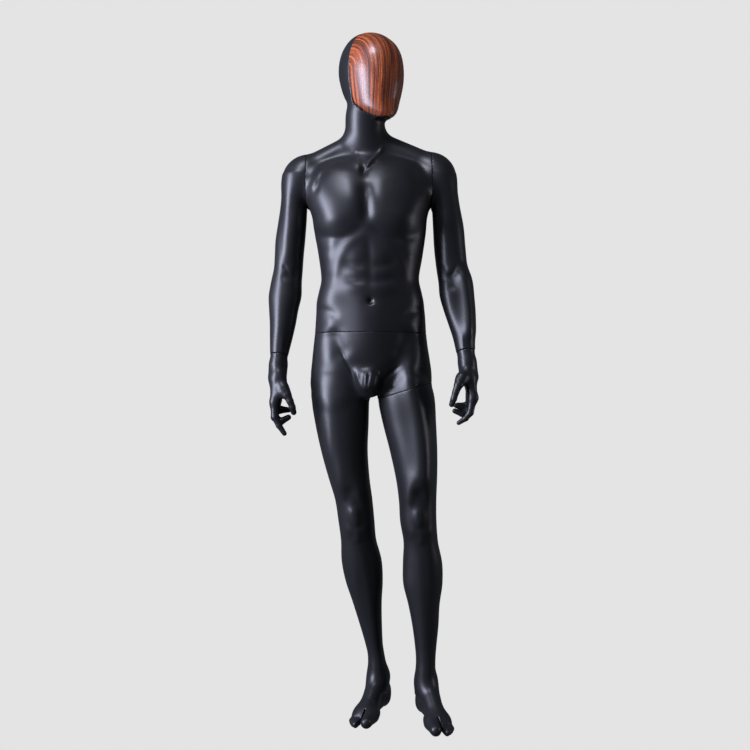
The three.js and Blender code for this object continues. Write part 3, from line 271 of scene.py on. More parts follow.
def surface_nets(v, axes, settle=2):
    """The closed surface where v crosses zero, as vertices and quads."""
    inside = v < 0
    count = np.zeros([n - 1 for n in v.shape], np.int8)
    for i, j, k in itertools.product((0, 1), repeat=3):
        count += inside[i:i + count.shape[0], j:j + count.shape[1], k:k + count.shape[2]]
    active = (count > 0) & (count < 8)
    cells = np.argwhere(active)
    index = np.full(count.shape, -1, np.int32)
    index[active] = np.arange(len(cells))
    place, hits = np.zeros((len(cells), 3)), np.zeros(len(cells))
    for corner in itertools.product((0, 1), repeat=3):
        for axis in range(3):
            if corner[axis]:
                continue
            other = list(corner)
            other[axis] = 1
            va = v[tuple((cells + corner).T)]
            vb = v[tuple((cells + other).T)]
            crosses = (va < 0) != (vb < 0)
            p = np.repeat(np.array(corner, float)[None], len(cells), 0)
            p[:, axis] += np.where(crosses, va / np.where(crosses, va - vb, 1), 0)
            place += p * crosses[:, None]
            hits += crosses
    place = cells + place / hits[:, None]
    quads = []
    for axis in range(3):
        u, w = [(1, 2), (2, 0), (0, 1)][axis]
        first, second = [slice(None)] * 3, [slice(None)] * 3
        first[axis], second[axis] = slice(0, -1), slice(1, None)
        for q in (u, w):
            first[q] = second[q] = slice(1, -1)
        a, b = inside[tuple(first)], inside[tuple(second)]
        for flip, mask in ((False, a & ~b), (True, ~a & b)):
            edge = np.argwhere(mask)
            corners = []
            for du, dw in ((0, 0), (1, 0), (1, 1), (0, 1)):
                q = edge.copy()
                q[:, u] += du
                q[:, w] += dw
                corners.append(index[tuple(q.T)])
            f = np.stack(corners, 1)
            quads.append(f[:, ::-1] if flip else f)
    for _ in range(settle):
        value, slope = sampled(v, place)
        step = (value / np.maximum((slope * slope).sum(1), 0.05))[:, None] * slope
        place -= np.clip(step, -0.5, 0.5)
    spots = [np.interp(place[:, i], np.arange(len(axes[i])), axes[i]) for i in range(3)]
    return np.stack(spots, 1), np.concatenate(quads)


def sampled(v, p):
    """Trilinear value and gradient at p, in cells."""
    cell = np.clip(np.floor(p).astype(int), 0, np.array(v.shape) - 2)
    part = p - cell
    value, slope = np.zeros(len(p)), np.zeros(p.shape)
    for corner in itertools.product((0, 1), repeat=3):
        height = v[tuple((cell + corner).T)]
        share = np.where(corner, part, 1 - part)
        value += height * share.prod(1)
        for axis in range(3):
            slope[:, axis] += (2 * corner[axis] - 1) * height * np.delete(share, axis, 1).prod(1)
    return value, slope


# ===== Muscles: height maps over x and z, laid on the front or the back of a piece =====
class Relief:
    """Heights over an upright rectangle seen from the front, sampled every few millimetres."""

    PITCH = 2.0

    def __init__(self, x0, x1, z0, z1):
        self.xs = np.arange(x0, x1 + self.PITCH, self.PITCH)
        self.zs = np.arange(z0, z1 + self.PITCH, self.PITCH)
        self.h = np.zeros((len(self.xs), len(self.zs)))

    def window(self, points, margin):
        """The part of the map around some points: its slices, and its x and z values."""
        p = np.array(points, float).reshape(-1, 2)
        low, high = p.min(0) - margin, p.max(0) + margin
        i = slice(np.searchsorted(self.xs, low[0]), np.searchsorted(self.xs, high[0]) + 1)
        j = slice(np.searchsorted(self.zs, low[1]), np.searchsorted(self.zs, high[1]) + 1)
        return (i, j), self.xs[i][:, None], self.zs[j][None, :]

    def swell(self, x, z, rx, rz, height, lean=0.0):
        """A soft mound; lean tips its top towards +X, in degrees."""
        part, xs, zs = self.window([x, z], 2.6 * max(rx, rz))
        c, s = turned(lean)
        dx, dz = xs - x, zs - z
        a, b = c * dx - s * dz, s * dx + c * dz
        self.h[part] += height * np.exp(-((a / rx) ** 2) - (b / rz) ** 2)

    def nearest(self, path, xs, zs, closed=False):
        """Distance to a path and how far along it the nearest point lies, from 0 to 1."""
        if closed:
            path = np.concatenate([path, path[:1]])
        length = np.concatenate([[0], np.cumsum(np.hypot(*np.diff(path, axis=0).T))])
        best = np.full(np.broadcast(xs, zs).shape, 1e9)
        place = np.zeros(best.shape)
        for i in range(len(path) - 1):
            p, d = path[i], path[i + 1] - path[i]
            t = np.clip(((xs - p[0]) * d[0] + (zs - p[1]) * d[1]) / (d @ d), 0, 1)
            far = np.hypot(xs - p[0] - t * d[0], zs - p[1] - t * d[1])
            along = (length[i] + t * (length[i + 1] - length[i])) / length[-1]
            place = np.where(far < best, along, place)
            best = np.minimum(best, far)
        return best, place

    def line(self, points, width, height, fade=0.3):
        """A ridge or a groove along a path; it dies away over the last part of each end."""
        path = smooth_path(points)
        part, xs, zs = self.window(path, 3 * width)
        best, place = self.nearest(path, xs, zs)
        ends = smoothstep(place, -0.02, fade) * smoothstep(1 - place, -0.02, fade)
        self.h[part] += height * ends * np.exp(-((best / width) ** 2))

    def pad(self, outline, height, soft):
        """A plateau inside a closed outline, rising over the distance soft."""
        path = smooth_path(outline, closed=True)
        part, xs, zs = self.window(path, soft)
        best, _ = self.nearest(path, xs, zs, closed=True)
        inside = np.zeros(best.shape, bool)
        for p, q in zip(np.roll(path, 1, axis=0), path):
            if q[1] != p[1]:
                crosses = (p[1] > zs) != (q[1] > zs)
                inside ^= crosses & (xs < p[0] + (zs - p[1]) / (q[1] - p[1]) * (q[0] - p[0]))
        self.h[part] += height * smoothstep(np.where(inside, best, -best), -soft * 0.35, soft)

    def soften(self, radius):
        """Blurs everything painted so far."""
        reach = int(3 * radius / self.PITCH)
        weights = np.exp(-((np.arange(-reach, reach + 1) * self.PITCH / radius) ** 2))
        weights /= weights.sum()
        for axis in (0, 1):
            self.h = sum(w * np.roll(self.h, k, axis) for w, k in zip(weights, range(-reach, reach + 1)))

    def on(self, x, z):
        """The heights at places given by arrays that fit together."""
        i = np.clip((x - self.xs[0]) / self.PITCH, 0, len(self.xs) - 1.001)
        j = np.clip((z - self.zs[0]) / self.PITCH, 0, len(self.zs) - 1.001)
        i0, j0 = i.astype(int), j.astype(int)
        a, b = i - i0, j - j0
        h = self.h
        low = h[i0, j0] * (1 - a) + h[i0 + 1, j0] * a
        high = h[i0, j0 + 1] * (1 - a) + h[i0 + 1, j0 + 1] * a
        return low * (1 - b) + high * b


def smooth_path(points, closed=False, steps=6):
    """A curve through the points."""
    p = np.array(points, float)
    if closed:
        p = np.concatenate([p[-1:], p, p[:2]])
    else:
        p = np.concatenate([2 * p[:1] - p[1:2], p, 2 * p[-1:] - p[-2:-1]])
    out = []
    for a, b, c, d in zip(p[:-3], p[1:-2], p[2:-1], p[3:]):
        for t in np.arange(steps) / steps:
            out.append(0.5 * (2 * b + (c - a) * t + (2 * a - 5 * b + 4 * c - d) * t**2
                              + (3 * b - 3 * c + d - a) * t**3))
    if not closed:
        out.append(p[-2])
    return np.array(out)


def lay(grid, front, back, middle, turn=30.0):
    """Raises the skin by the reliefs: the front one's before y = middle, the back one's behind it."""
    heights = [relief.on(grid.x, grid.z) for relief in (front, back)]
    grid.v -= heights[0] * smoothstep(middle - grid.y, -turn * 0.2, turn)
    grid.v -= heights[1] * smoothstep(grid.y - middle, -turn * 0.2, turn)


# Where each relief lies: from x to x, from z to z. An arm's goes by its side, -1 for the right.
BODY_RELIEF = (-200, 250, 60, 1620)
ARM_RELIEF = {-1: (-310, -140, 930, 1500), 1: (130, 310, 930, 1500)}
# The body's midline: height, x.
MIDLINE = [(870, -5), (1041, -8), (1121, -8), (1200, -9), (1280, -14), (1336, -19), (1400, -20), (1470, -24)]


def middle_x(z):
    rows = np.array(MIDLINE, float)
    return float(np.interp(z, rows[:, 0], rows[:, 1]))


class Brush:
    """Paints at places given outwards from a middle line, on one side of it or on both."""

    def __init__(self, relief, middle=middle_x, sides=(-1, 1)):
        self.relief, self.middle, self.sides = relief, middle, sides

    def spots(self, points, side):
        return [(self.middle(z) + side * dx, z) for dx, z in points]

    def line(self, points, *rest):
        for side in self.sides:
            self.relief.line(self.spots(points, side), *rest)

    def pad(self, points, *rest):
        for side in self.sides:
            self.relief.pad(self.spots(points, side), *rest)

    def swell(self, dx, z, rx, rz, height, lean=0.0, middle=None):
        """middle stands in for the middle line; lean is outwards."""
        for side in self.sides:
            x = (self.middle(z) if middle is None else middle) + side * dx
            self.relief.swell(x, z, rx, rz, height, lean=side * lean)


def limb_brush(r, table, side):
    return Brush(r, lambda z: float(section_at(np.array(float(z)), table)[0]), (side,))


def paint_chest(r, both):
    both.pad([(5, 1440), (34, 1480), (90, 1498), (140, 1480), (160, 1410), (150, 1350), (127, 1314),
              (92, 1299), (55, 1303), (22, 1322), (5, 1352)], 9, 46)
    both.swell(92, 1338, 46, 34, 6.5, middle=middle_x(1340))
    both.swell(156, 1455, 24, 38, 3, middle=-11)
    both.line([(4, 1330), (22, 1308), (52, 1291), (92, 1286), (128, 1300), (148, 1330)], 12, -4.0, 0.25)
    r.line([(-24, 1440), (-21, 1400), (-19, 1350), (-17, 1318)], 14, -8.5)
    r.line([(-38, 1462), (-80, 1471), (-125, 1481), (-172, 1490)], 13, 1.8, 0.25)
    r.line([(-8, 1463), (48, 1482), (100, 1495), (146, 1500)], 13, 1.8, 0.25)


def paint_belly(r, both):
    both.line([(0, 1292), (30, 1287), (58, 1266), (80, 1232), (92, 1196), (104, 1160)], 13, 3.4, 0.25)
    for dx, z, height in ((98, 1276, 3.6), (106, 1240, 4.0), (110, 1206, 3.0)):
        both.swell(dx, z, 18, 16, height, lean=25)
    for dx, z, rx, rz, height in ((33, 1243, 27, 25, 4.6), (38, 1196, 34, 17, 5.0), (44, 1158, 38, 18, 5.4)):
        both.swell(dx, z, rx, rz, height, lean=-5)
    for z in (1216, 1177):
        both.line([(2, z + 2), (36, z), (74, z + 7)], 9, -2.6, 0.35)
    r.line([(-17, 1300), (-12, 1250), (-9, 1190), (-8, 1140)], 10, -3.0, 0.25)
    r.swell(-8, 1090, 64, 44, 5)
    r.swell(-8, 1121, 15, 17, -4)
    r.swell(-10, 1150, 58, 92, 9)
    both.swell(112, 1138, 30, 36, 5, lean=12, middle=-8)
    both.swell(106, 1066, 20, 16, 3, lean=40, middle=-8)
    both.line([(150, 1106), (124, 1100), (100, 1090), (86, 1072)], 10, -3.6)


def paint_hips(r, both):
    r.swell(-8, 1020, 50, 62, 11)
    both.line([(106, 1056), (88, 1010), (66, 966)], 26, -6.5)
    both.line([(94, 1052), (84, 1010), (66, 966), (44, 930)], 12, -2.4)
    r.swell(96, 930, 40, 60, 5, lean=8)
    r.line([(98, 990), (68, 954), (42, 924), (30, 902)], 24, -11, 0.4)
    r.pad([(-52, 905), (-62, 936), (-84, 962), (-110, 990), (-146, 980), (-158, 930), (-154, 860),
           (-110, 830), (-66, 850)], 4, 30)
    r.pad([(-52, 944), (-26, 950), (4, 946), (20, 920), (14, 892), (-6, 880), (-34, 884), (-50, 910)], 13, 20)


def paint_leg_front(limb, crest, height):
    """The thigh's crest lies that far out from its middle, and stands that high."""
    limb.line([(crest * 0.5, 985), (crest * 0.7, 900), (crest, 800), (crest * 0.8, 700), (2, 610)],
              27, height, 0.14)
    limb.swell(40, 730, 13, 100, 2.0)
    # The knee: the muscle's two ends over it, the cap, and the tendon below.
    limb.swell(-24, 616, 18, 38, 5.5, lean=8)
    limb.swell(27, 640, 15, 48, 3.4)
    limb.line([(-26, 574), (-10, 592), (2, 634)], 10, -3.0)
    limb.line([(26, 582), (12, 598), (4, 634)], 10, -2.8)
    limb.pad([(-17, 552), (-12, 572), (2, 578), (16, 570), (19, 550), (12, 530), (0, 520), (-12, 532)], 6, 14)
    for dx in (-20, 20):
        limb.swell(dx, 512, 11, 13, 2.6)
    limb.line([(0, 520), (0, 500), (1, 476)], 9, 3.6, 0.2)
    # The shin's edge and the calf beside it.
    limb.line([(-4, 480), (-8, 380), (-8, 260), (-4, 150)], 12, 2.6, 0.2)
    limb.swell(16, 400, 17, 90, 3)


def paint_front():
    r = Relief(*BODY_RELIEF)
    both = Brush(r)
    paint_chest(r, both)
    paint_belly(r, both)
    paint_hips(r, both)
    paint_leg_front(limb_brush(r, R_LEG, -1), 14, 2.5)
    paint_leg_front(limb_brush(r, L_LEG, 1), 26, 16)
    r.soften(6.0)
    # Throat, tendons of the neck and the grooves beside the shoulder caps.
    r.swell(-25, 1466, 9, 13, -9)
    r.line([(-24, 1468), (-14, 1486), (2, 1508), (18, 1528), (26, 1548)], 4.4, 5.0, 0.25)
    r.line([(-16, 1466), (-6, 1484), (14, 1504)], 6, -3.5)
    r.line([(-38, 1466), (-44, 1500), (-54, 1540)], 7, 2.4)
    r.line([(-124, 1488), (-141, 1446), (-160, 1400)], 10, -3.6)
    r.line([(-140, 1486), (-157, 1442), (-172, 1406)], 9, 2.6)
    r.line([(96, 1490), (113, 1446), (134, 1402)], 10, -3.4)
    # Navel.
    r.swell(-8, 1121, 6.5, 8, -8)
    r.swell(-6, 1110, 10, 5, 2.0)
    # Groin creases and the folds between them.
    r.line([(-93, 1004), (-74, 968), (-58, 938), (-50, 912)], 4, -3.2)
    r.line([(76, 960), (58, 944), (38, 926), (24, 902)], 5, -4.2, 0.4)
    for top, low, height in ((-47, -29, 4.2), (-20, -23, 5.4), (-3, -15, 4.6), (11, -6, 3.4)):
        r.line([(top, 940), ((top * 2 + low) / 3, 916), (low, 882)], 5.2, height, 0.25)
    r.soften(1.6)
    return r


def paint_leg_back(limb):
    for dx in (-18, 20):
        limb.swell(dx, 740, 20, 120, 3)
    limb.line([(0, 800), (0, 680), (0, 600)], 12, -2.8)
    # The hollow of the knee between its two cords.
    limb.line([(-27, 640), (-30, 560), (-24, 500)], 9, 3.6)
    limb.line([(27, 640), (28, 560), (24, 500)], 9, 3.2)
    limb.swell(0, 540, 17, 34, -4)
    # The calf's two halves and the heel's tendon.
    limb.swell(-20, 400, 21, 66, 7)
    limb.swell(20, 412, 20, 60, 5)
    limb.line([(0, 470), (0, 400), (-1, 330)], 9, -3.4)
    limb.line([(0, 320), (0, 200), (0, 110)], 9, 3.6, 0.25)
    for dx in (-17, 17):
        limb.swell(dx, 150, 8, 60, -3)


def paint_back():
    r = Relief(*BODY_RELIEF)
    both = Brush(r)
    r.line([(-14, 1500), (-12, 1400), (-9, 1250), (-8, 1130), (-8, 1040)], 13, -7.5, 0.2)
    both.swell(34, 1170, 22, 95, 5, middle=-10)
    both.swell(82, 1400, 42, 52, 7, lean=14, middle=-12)
    both.swell(112, 1310, 34, 62, 5, lean=10, middle=-12)
    both.swell(44, 1462, 34, 40, 3.5, lean=30, middle=-12)
    both.swell(74, 932, 50, 56, 14, middle=-4)
    both.swell(136, 965, 20, 34, -6, middle=-4)
    both.swell(66, 1014, 46, 26, 3, middle=-6)
    both.line([(26, 1452), (40, 1400), (58, 1352), (96, 1334)], 12, -4.6)
    both.line([(48, 1448), (90, 1438), (140, 1446)], 10, 3.2)
    paint_leg_back(limb_brush(r, R_LEG, -1))
    paint_leg_back(limb_brush(r, L_LEG, 1))
    r.soften(4.0)
    # The folds under the buttocks, the dimples over them and the cleft.
    Brush(r, lambda z: -4).line([(20, 862), (70, 850), (126, 866)], 10, -7, 0.25)
    both.swell(38, 1052, 8, 8, -3, middle=-8)
    r.line([(-6, 1026), (-5, 960), (-3, 900), (0, 866)], 9, -14, 0.25)
    r.soften(1.6)
    return r


def paint_arm_front(table, side):
    r = Relief(*ARM_RELIEF[side])
    limb = limb_brush(r, table, side)
    if side < 0:
        limb.line([(-4, 1380), (-6, 1330), (-6, 1270), (-4, 1216)], 22, 4.4)
        limb.line([(24, 1420), (28, 1370), (24, 1300), (20, 1230)], 10, -2.4)
        limb.line([(2, 1222), (5, 1200), (5, 1140), (4, 1060), (1, 1000)], 22, 4.2, 0.2)
    else:
        limb.line([(-10, 1380), (-12, 1330), (-12, 1270), (-8, 1224)], 20, 3.6)
        limb.line([(18, 1228), (26, 1200), (28, 1150), (22, 1080), (8, 1010)], 19, 15.5, 0.2)
        limb.line([(-16, 1206), (-12, 1180), (-10, 1150)], 10, -3.6)
    limb.line([(-24, 1202), (-6, 1190), (12, 1202)], 10, -3.0)
    limb.swell(-22, 1150, 18, 50, 2.4)
    limb.line([(-30, 1226), (-27, 1200), (-32, 1174)], 7, -3.0)
    r.soften(5.0)
    limb.line([(-14, 1192), (-2, 1206), (12, 1228)], 5, -2.2)
    limb.line([(-7, 1040), (-7, 1010), (-7, 985)], 4, 1.0)
    r.soften(1.6)
    return r


def paint_arm_back(table, side):
    r = Relief(*ARM_RELIEF[side])
    limb = limb_brush(r, table, side)
    limb.line([(-10, 1390), (-12, 1320), (-8, 1260)], 14, 4.6)
    limb.line([(16, 1380), (17, 1320), (12, 1270)], 12, 4.4)
    limb.line([(3, 1380), (3, 1320), (2, 1260)], 8, -3.6)
    limb.swell(-2, 1180, 12, 14, 6)
    limb.swell(-22, 1184, 9, 11, 3.4)
    limb.line([(-8, 1168), (-10, 1100), (-8, 1000)], 8, -2.6)
    limb.line([(14, 1176), (13, 1120), (6, 1040)], 12, 3.4)
    limb.swell(8, 1000, 9, 13, 3.4)
    r.soften(3.0)
    return r


# ===== Hands and feet =====
SIDE = {"right": -1, "left": 1}
ARM = {"right": R_ARM, "left": L_ARM}
FEET = {"right": {"ankle": (14, 63), "turn": 22}, "left": {"ankle": (146, 10), "turn": 15}}
# Toes: the root's and the tip's local place, and the radius at each.
BIG_TOE = (110, -25, 19, 155, -27, 15, 18, 15)
SMALL_TOES = [(116, 0, 14, 162, 1, 9, 10, 9), (114, 8, 13, 156, 8.5, 8.8, 9.6, 8.8),
              (109, 15, 12, 147, 15.5, 8.5, 9.4, 8.5), (102, 22, 11, 135, 22, 8.2, 9.2, 8.4)]
SLIT_TOP = 45


def add_foot(grid, which):
    """Local places are (forwards, outwards, up). A slit runs beside the big toe, down to the ground."""
    side = SIDE[which]
    cos, sin = turned(FEET[which]["turn"])
    x, y = FEET[which]["ankle"]

    def at(a, b, z):
        return x + side * (a * sin + b * cos), y - a * cos + b * sin, z
    yaw = math.degrees(math.atan2(-cos, side * sin))
    body = [
        Ball(at(-40, 0, 36), (29, 19, 35), 22, yaw),
        Cone(at(-2, 0, 92), at(104, -5, 24), 27, 21, 22),
        Cone(at(-22, 0, 24), at(96, 3, 20), 21, 23, 20),
        Ball(at(104, -17, 18), (42, 24, 21), 16, yaw),
        Ball(at(98, 12, 15), (42, 20, 18), 16, yaw),
        Ball(at(-8, -14, 84), (13, 6, 15), 16, yaw),
        Ball(at(-12, 16, 74), (12, 7, 15), 16, yaw),
    ]
    toes = [Cone(at(*toe[:3]), at(*toe[3:6]), *toe[6:], 8 if toe is BIG_TOE else 3)
            for toe in [BIG_TOE] + SMALL_TOES]
    grid.add(*body, *toes)
    slit = Cone(at(124, -11.5, 20), at(196, -5, 20), 1.8, 6.4, 1)
    grid.cut(np.maximum(slit.distance(grid.x, grid.y, slit.a[2] + 0 * grid.z), grid.z - SLIT_TOP))


HANDS = {
    "right": {
        "at": (-257, -46, 942),
        "palm": [
            ((3, 6, -10), (0, 4, 24), 15, 15, 26), ((2, -10, -10), (0, -12, 24), 14.5, 14.5, 26),
            ((-1, 22, 30), (-3, 30, 84), 13.5, 12, 18), ((-1, 6, 30), (-4, 10, 88), 13.5, 12, 18),
            ((-1, -12, 30), (-4, -9, 86), 13.5, 12, 18), ((-1, -26, 32), (-3, -26, 80), 13, 11, 18),
            ((8, 22, 14), (19, 35, 58), 13.5, 15, 20),
        ],
        "fingers": [
            (((20, 36, 50), (30, 44, 66), (38, 46, 82), (44, 44, 98), (47, 38, 112)),
             (14, 11.5, 9.2, 8.4, 7.6)),
            (((-4, 31, 84), (-3, 34, 124), (8, 33, 147), (22, 32, 168)), (11, 9.5, 8, 6.4)),
            (((-6, 10, 88), (-5, 12, 126), (9, 14, 138), (31, 16, 126)), (11, 10.8, 10, 7.6)),
            (((-6, -9, 86), (-7, -8, 114), (8, -6, 110), (33, 0, 108)), (10.5, 9, 7, 5.4)),
            (((-5, -26, 80), (-6, -27, 102), (8, -25, 104), (26, -20, 105)), (9.6, 8.6, 7, 5.4)),
        ],
    },
    "left": {
        "at": (252, -46, 948),
        "palm": [
            ((-1, 6, -10), (-6, 4, 24), 16, 17, 24), ((-1, -10, -10), (-6, -12, 24), 15.5, 16, 24),
            ((-4, 22, 30), (-11, 30, 80), 14, 12.5, 14), ((-6, 6, 30), (-13, 10, 82), 14, 12.5, 14),
            ((-6, -12, 30), (-13, -9, 80), 14, 12, 14), ((-4, -26, 32), (-11, -26, 76), 13, 11, 14),
            ((8, 22, 16), (20, 34, 34), 15, 14, 14),
        ],
        "fingers": [
            (((20, 36, 26), (29, 45, 46), (36, 46, 64), (41, 44, 82), (46, 38, 97)), (14, 11.5, 9, 8.4, 7.4)),
            (((-11, 31, 80), (-3, 34, 119), (9, 33, 134), (27, 31, 146)), (11, 9.2, 7.6, 6)),
            (((-11, 10, 82), (0, 12, 113), (16, 14, 123), (36, 16, 115)), (11, 9.6, 8.4, 7)),
            (((-11, -9, 80), (-4, -8, 108), (12, -6, 110), (33, 0, 101)), (10.5, 9, 7.4, 6)),
            (((-9, -26, 76), (-4, -27, 98), (10, -25, 101), (26, -20, 99)), (9.6, 8.6, 7, 5.6)),
        ],
    },
}


def hand(which):
    """Local places are (towards the thigh, forwards, down the hand)."""
    spec, side = HANDS[which], SIDE[which]
    x, y, z = spec["at"]

    def at(place):
        m, f, d = place
        return x - side * m, y - f, z - d
    palm = [Cone(at(a), at(b), r0, r1, k) for a, b, r0, r1, k in spec["palm"]]
    fingers = [Cone(at(points[i]), at(points[i + 1]), radii[i], radii[i + 1], 3 if i else 12)
               for points, radii in spec["fingers"] for i in range(len(points) - 1)]
    return palm, fingers


# ===== Pieces =====
SHOULDER = {
    "right": [Cone((-28, 20, 1564), (-168, 13, 1490), 36, 37, 26), Ball((-197, 13, 1454), (52, 54, 66), 28)],
    "left": [Cone((-12, 20, 1566), (146, 13, 1497), 36, 37, 26), Ball((175, 13, 1459), (51, 54, 67), 28)],
}
FINE = 1.0


def step(mm):
    return mm * FINE


def thigh_height(x, z):
    c, s = turned(THIGH_SEAM["tilt"])
    return (z - THIGH_SEAM["z"]) * c - (x - THIGH_SEAM["x"]) * s


def finish_piece(name, verts, faces, body, replaced, material, slot):
    mesh = bpy.data.meshes.new(name)
    verts = (verts + CENTRE) / 1000.0
    mesh.from_pydata(verts.tolist(), [], faces if isinstance(faces, list) else faces.tolist())
    mesh.shade_smooth()
    mesh.materials.append(material)
    piece = bpy.data.objects.new(name, mesh)
    bpy.context.scene.collection.objects.link(piece)
    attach(piece, body)
    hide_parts(replaced)
    return piece


def main_part(verts, quads):
    """The biggest connected part of a mesh."""
    label = np.arange(len(verts))
    while True:
        low = label[quads].min(1)
        new = label.copy()
        np.minimum.at(new, quads.ravel(), np.repeat(low, quads.shape[1]))
        new = new[new]
        if (new == label).all():
            break
        label = new
    names, counts = np.unique(label, return_counts=True)
    keep = label == names[counts.argmax()]
    number = np.cumsum(keep) - 1
    return verts[keep], number[quads[keep[quads].all(1)]]


def body_middle(x, z):
    """Where the front of the body turns into its back."""
    trunk_y = section_at(z, TORSO)[..., 1]
    right, left = section_at(z, R_LEG)[..., 1], section_at(z, L_LEG)[..., 1]
    leg_y = right + (left - right) * smoothstep(x, -6, 34)
    return leg_y + (trunk_y - leg_y) * smoothstep(z, 870, 930)


def body_field(g):
    g.add(Stack(TORSO, 30), Stack(R_LEG, 30), Stack(L_LEG, 9), Ball((-8, -64, 906), (24, 32, 34), 22))
    lay(g, FRONT, BACK, body_middle(g.x, g.z))
    g.v -= FILL


def seam_tilt(x, z):
    """Slopes the grid's levels near the thigh seam with it."""
    slope = math.tan(math.radians(THIGH_SEAM["tilt"]))
    near = 1 - smoothstep(np.abs(z - THIGH_SEAM["z"]), 12, 130)
    return slope * (np.clip(x, CROTCH_X, 170) - THIGH_SEAM["x"]) * near


def trunk():
    xs = spaced((-182.85, -180.85, SEAM_CELL), (-180.85, 156.35, step(2.5)), (156.35, 158.35, SEAM_CELL))
    ys = spaced((-140, 145, step(2.6)))
    zs = spaced((1040.15, 1042.15, SEAM_CELL), (1042.15, 1600, step(3.1)), (1600, 1864, step(2.4)))
    g = Grid(xs, ys, zs)
    g.add(Stack(NECK, 20), Stack(TORSO, 30), *SHOULDER["right"], *SHOULDER["left"])
    lay(g, FRONT, BACK, body_middle(g.x, g.z))
    g.v -= FILL
    head = Stack(HEAD, 14, HEAD_YAW, HEAD_AXIS)
    g.add(head)
    skin = head.distance(g.x, g.y, g.z)
    seat = np.maximum(-(skin + PLATE + GAP), face_side(g.x, g.y, g.z) - GAP)
    g.cut(np.maximum(seat, skin - 6))
    inner = g.v + WALL
    g.keep(WAIST_Z + GAP / 2 - g.z)
    from_shoulders = np.minimum(g.x - SHOULDER_X["right"], SHOULDER_X["left"] - g.x)
    g.keep(GAP / 2 - from_shoulders)
    past = np.minimum(g.z - WAIST_Z - HOLLOW["above waist"], from_shoulders - HOLLOW["inside shoulder"])
    g.cut(np.maximum(inner, past))
    return g.surface()


def face_side(x, y, z):
    """Negative in front of the face plate's edge."""
    c, s = turned(HEAD_YAW)
    back = -s * (x - HEAD_AXIS[0]) + c * (y - HEAD_AXIS[1])
    e = FACE_EDGE
    t = np.clip((e["bend"] - z) / e["drop"], 0, 1)
    return np.maximum(back + e["ahead"] + e["chin"] * t ** e["power"], e["low"] - z)


def hips():
    xs = spaced((-176, 170, step(2.4)))
    ys = spaced((-132, 141, step(2.4)))
    seam_z = THIGH_SEAM["z"]
    zs = spaced((-3, 96, step(2.2)), (96, seam_z - 1.05, step(3.6)),
                (seam_z - 1.05, seam_z + 1.15, SEAM_CELL), (seam_z + 1.15, 1039.85, step(3.6)),
                (1039.85, 1041.85, SEAM_CELL))
    g = Grid(xs, ys, zs, seam_tilt)
    body_field(g)
    add_foot(g, "right")
    inner = g.v + WALL
    seam = thigh_height(g.x, g.z)
    g.keep(-g.z)
    g.keep(g.z - WAIST_Z + GAP / 2)
    g.cut(np.maximum(seam - GAP / 2, np.maximum(CROTCH_X - g.x, 500 - g.z)))
    g.cut(np.maximum(inner, WAIST_Z - HOLLOW["below waist"] - g.z))
    g.cut(np.maximum(inner, np.maximum(np.abs(seam) - HOLLOW["thigh"], CROTCH_X + 6 - g.x)))
    return g.surface()


def left_leg():
    xs = spaced((8, 235, step(2.4)))
    ys = spaced((-178, 130, step(2.4)))
    seam_z = THIGH_SEAM["z"]
    zs = spaced((-3, 96, step(2.2)), (96, seam_z - 1.15, step(3.6)),
                (seam_z - 1.15, seam_z + 1.25, SEAM_CELL))
    g = Grid(xs, ys, zs, seam_tilt)
    body_field(g)
    add_foot(g, "left")
    inner = g.v + WALL
    seam = thigh_height(g.x, g.z)
    g.keep(-g.z)
    g.keep(seam + GAP / 2)
    g.keep(np.where(g.z > 600, CROTCH_X + GAP - g.x, -99))
    g.cut(np.maximum(inner, np.maximum(-HOLLOW["thigh"] - seam, CROTCH_X + 6 - g.x)))
    return g.surface()


def wrist_height(which, g):
    at, up = WRIST[which]
    return sum((c - p) * u for c, p, u in zip((g.x, g.y, g.z), at, up))


def arm(which):
    if which == "right":
        xs = spaced((-292, -183.15, step(2.2)), (-183.15, -181.15, SEAM_CELL))
    else:
        xs = spaced((156.65, 158.65, SEAM_CELL), (158.65, 290, step(2.2)))
    ys = spaced((-75, 95, step(2.2)))
    zs = spaced((962, 1010, step(1.8)), (1010, 1545, step(3.0)))
    g = Grid(xs, ys, zs)
    table, side = ARM[which], SIDE[which]
    upper_body = [row for row in TORSO if row[0] > 1380]
    g.add(*SHOULDER[which], Stack(upper_body, 30), Stack(table, 14))
    middle = section_at(g.z, table)[..., 1]
    lay(g, paint_arm_front(table, side), paint_arm_back(table, side), middle, 20)
    g.v -= FILL
    g.add(*hand(which)[0])
    inner = g.v + WALL
    out = side * (g.x - SHOULDER_X[which])
    wrist = wrist_height(which, g)
    g.keep(GAP / 2 - out)
    g.keep(GAP / 2 - wrist)
    past = np.minimum(out - HOLLOW["arm at shoulder"], wrist - HOLLOW["arm at wrist"])
    g.cut(np.maximum(inner, past))
    return g.surface()


def palm(which):
    low = (-292, -112, 752) if which == "right" else (184, -112, 778)
    high = (-190, 24, 1000) if which == "right" else (294, 24, 1010)
    g = Grid(*[spaced((a, b, step(1.7))) for a, b in zip(low, high)])
    g.add(Stack(ARM[which], 14))
    hand_palm, fingers = hand(which)
    g.add(*hand_palm, *fingers, pad=20.0)
    wrist = wrist_height(which, g)
    at = WRIST[which][0]
    radius = np.sqrt(np.maximum(sum((c - p) ** 2 for c, p in zip((g.x, g.y, g.z), at)) - wrist**2, 0))
    g.keep(wrist + GAP / 2)
    g.cut(np.maximum(radius - PEG_HOLE["radius"], -PEG_HOLE["deep"] - wrist))
    g.cut(np.maximum(radius - SOCKET_HOLE["radius"],
                     np.maximum(-SOCKET_HOLE["to"] - wrist, wrist + SOCKET_HOLE["from"])))
    return g.surface()


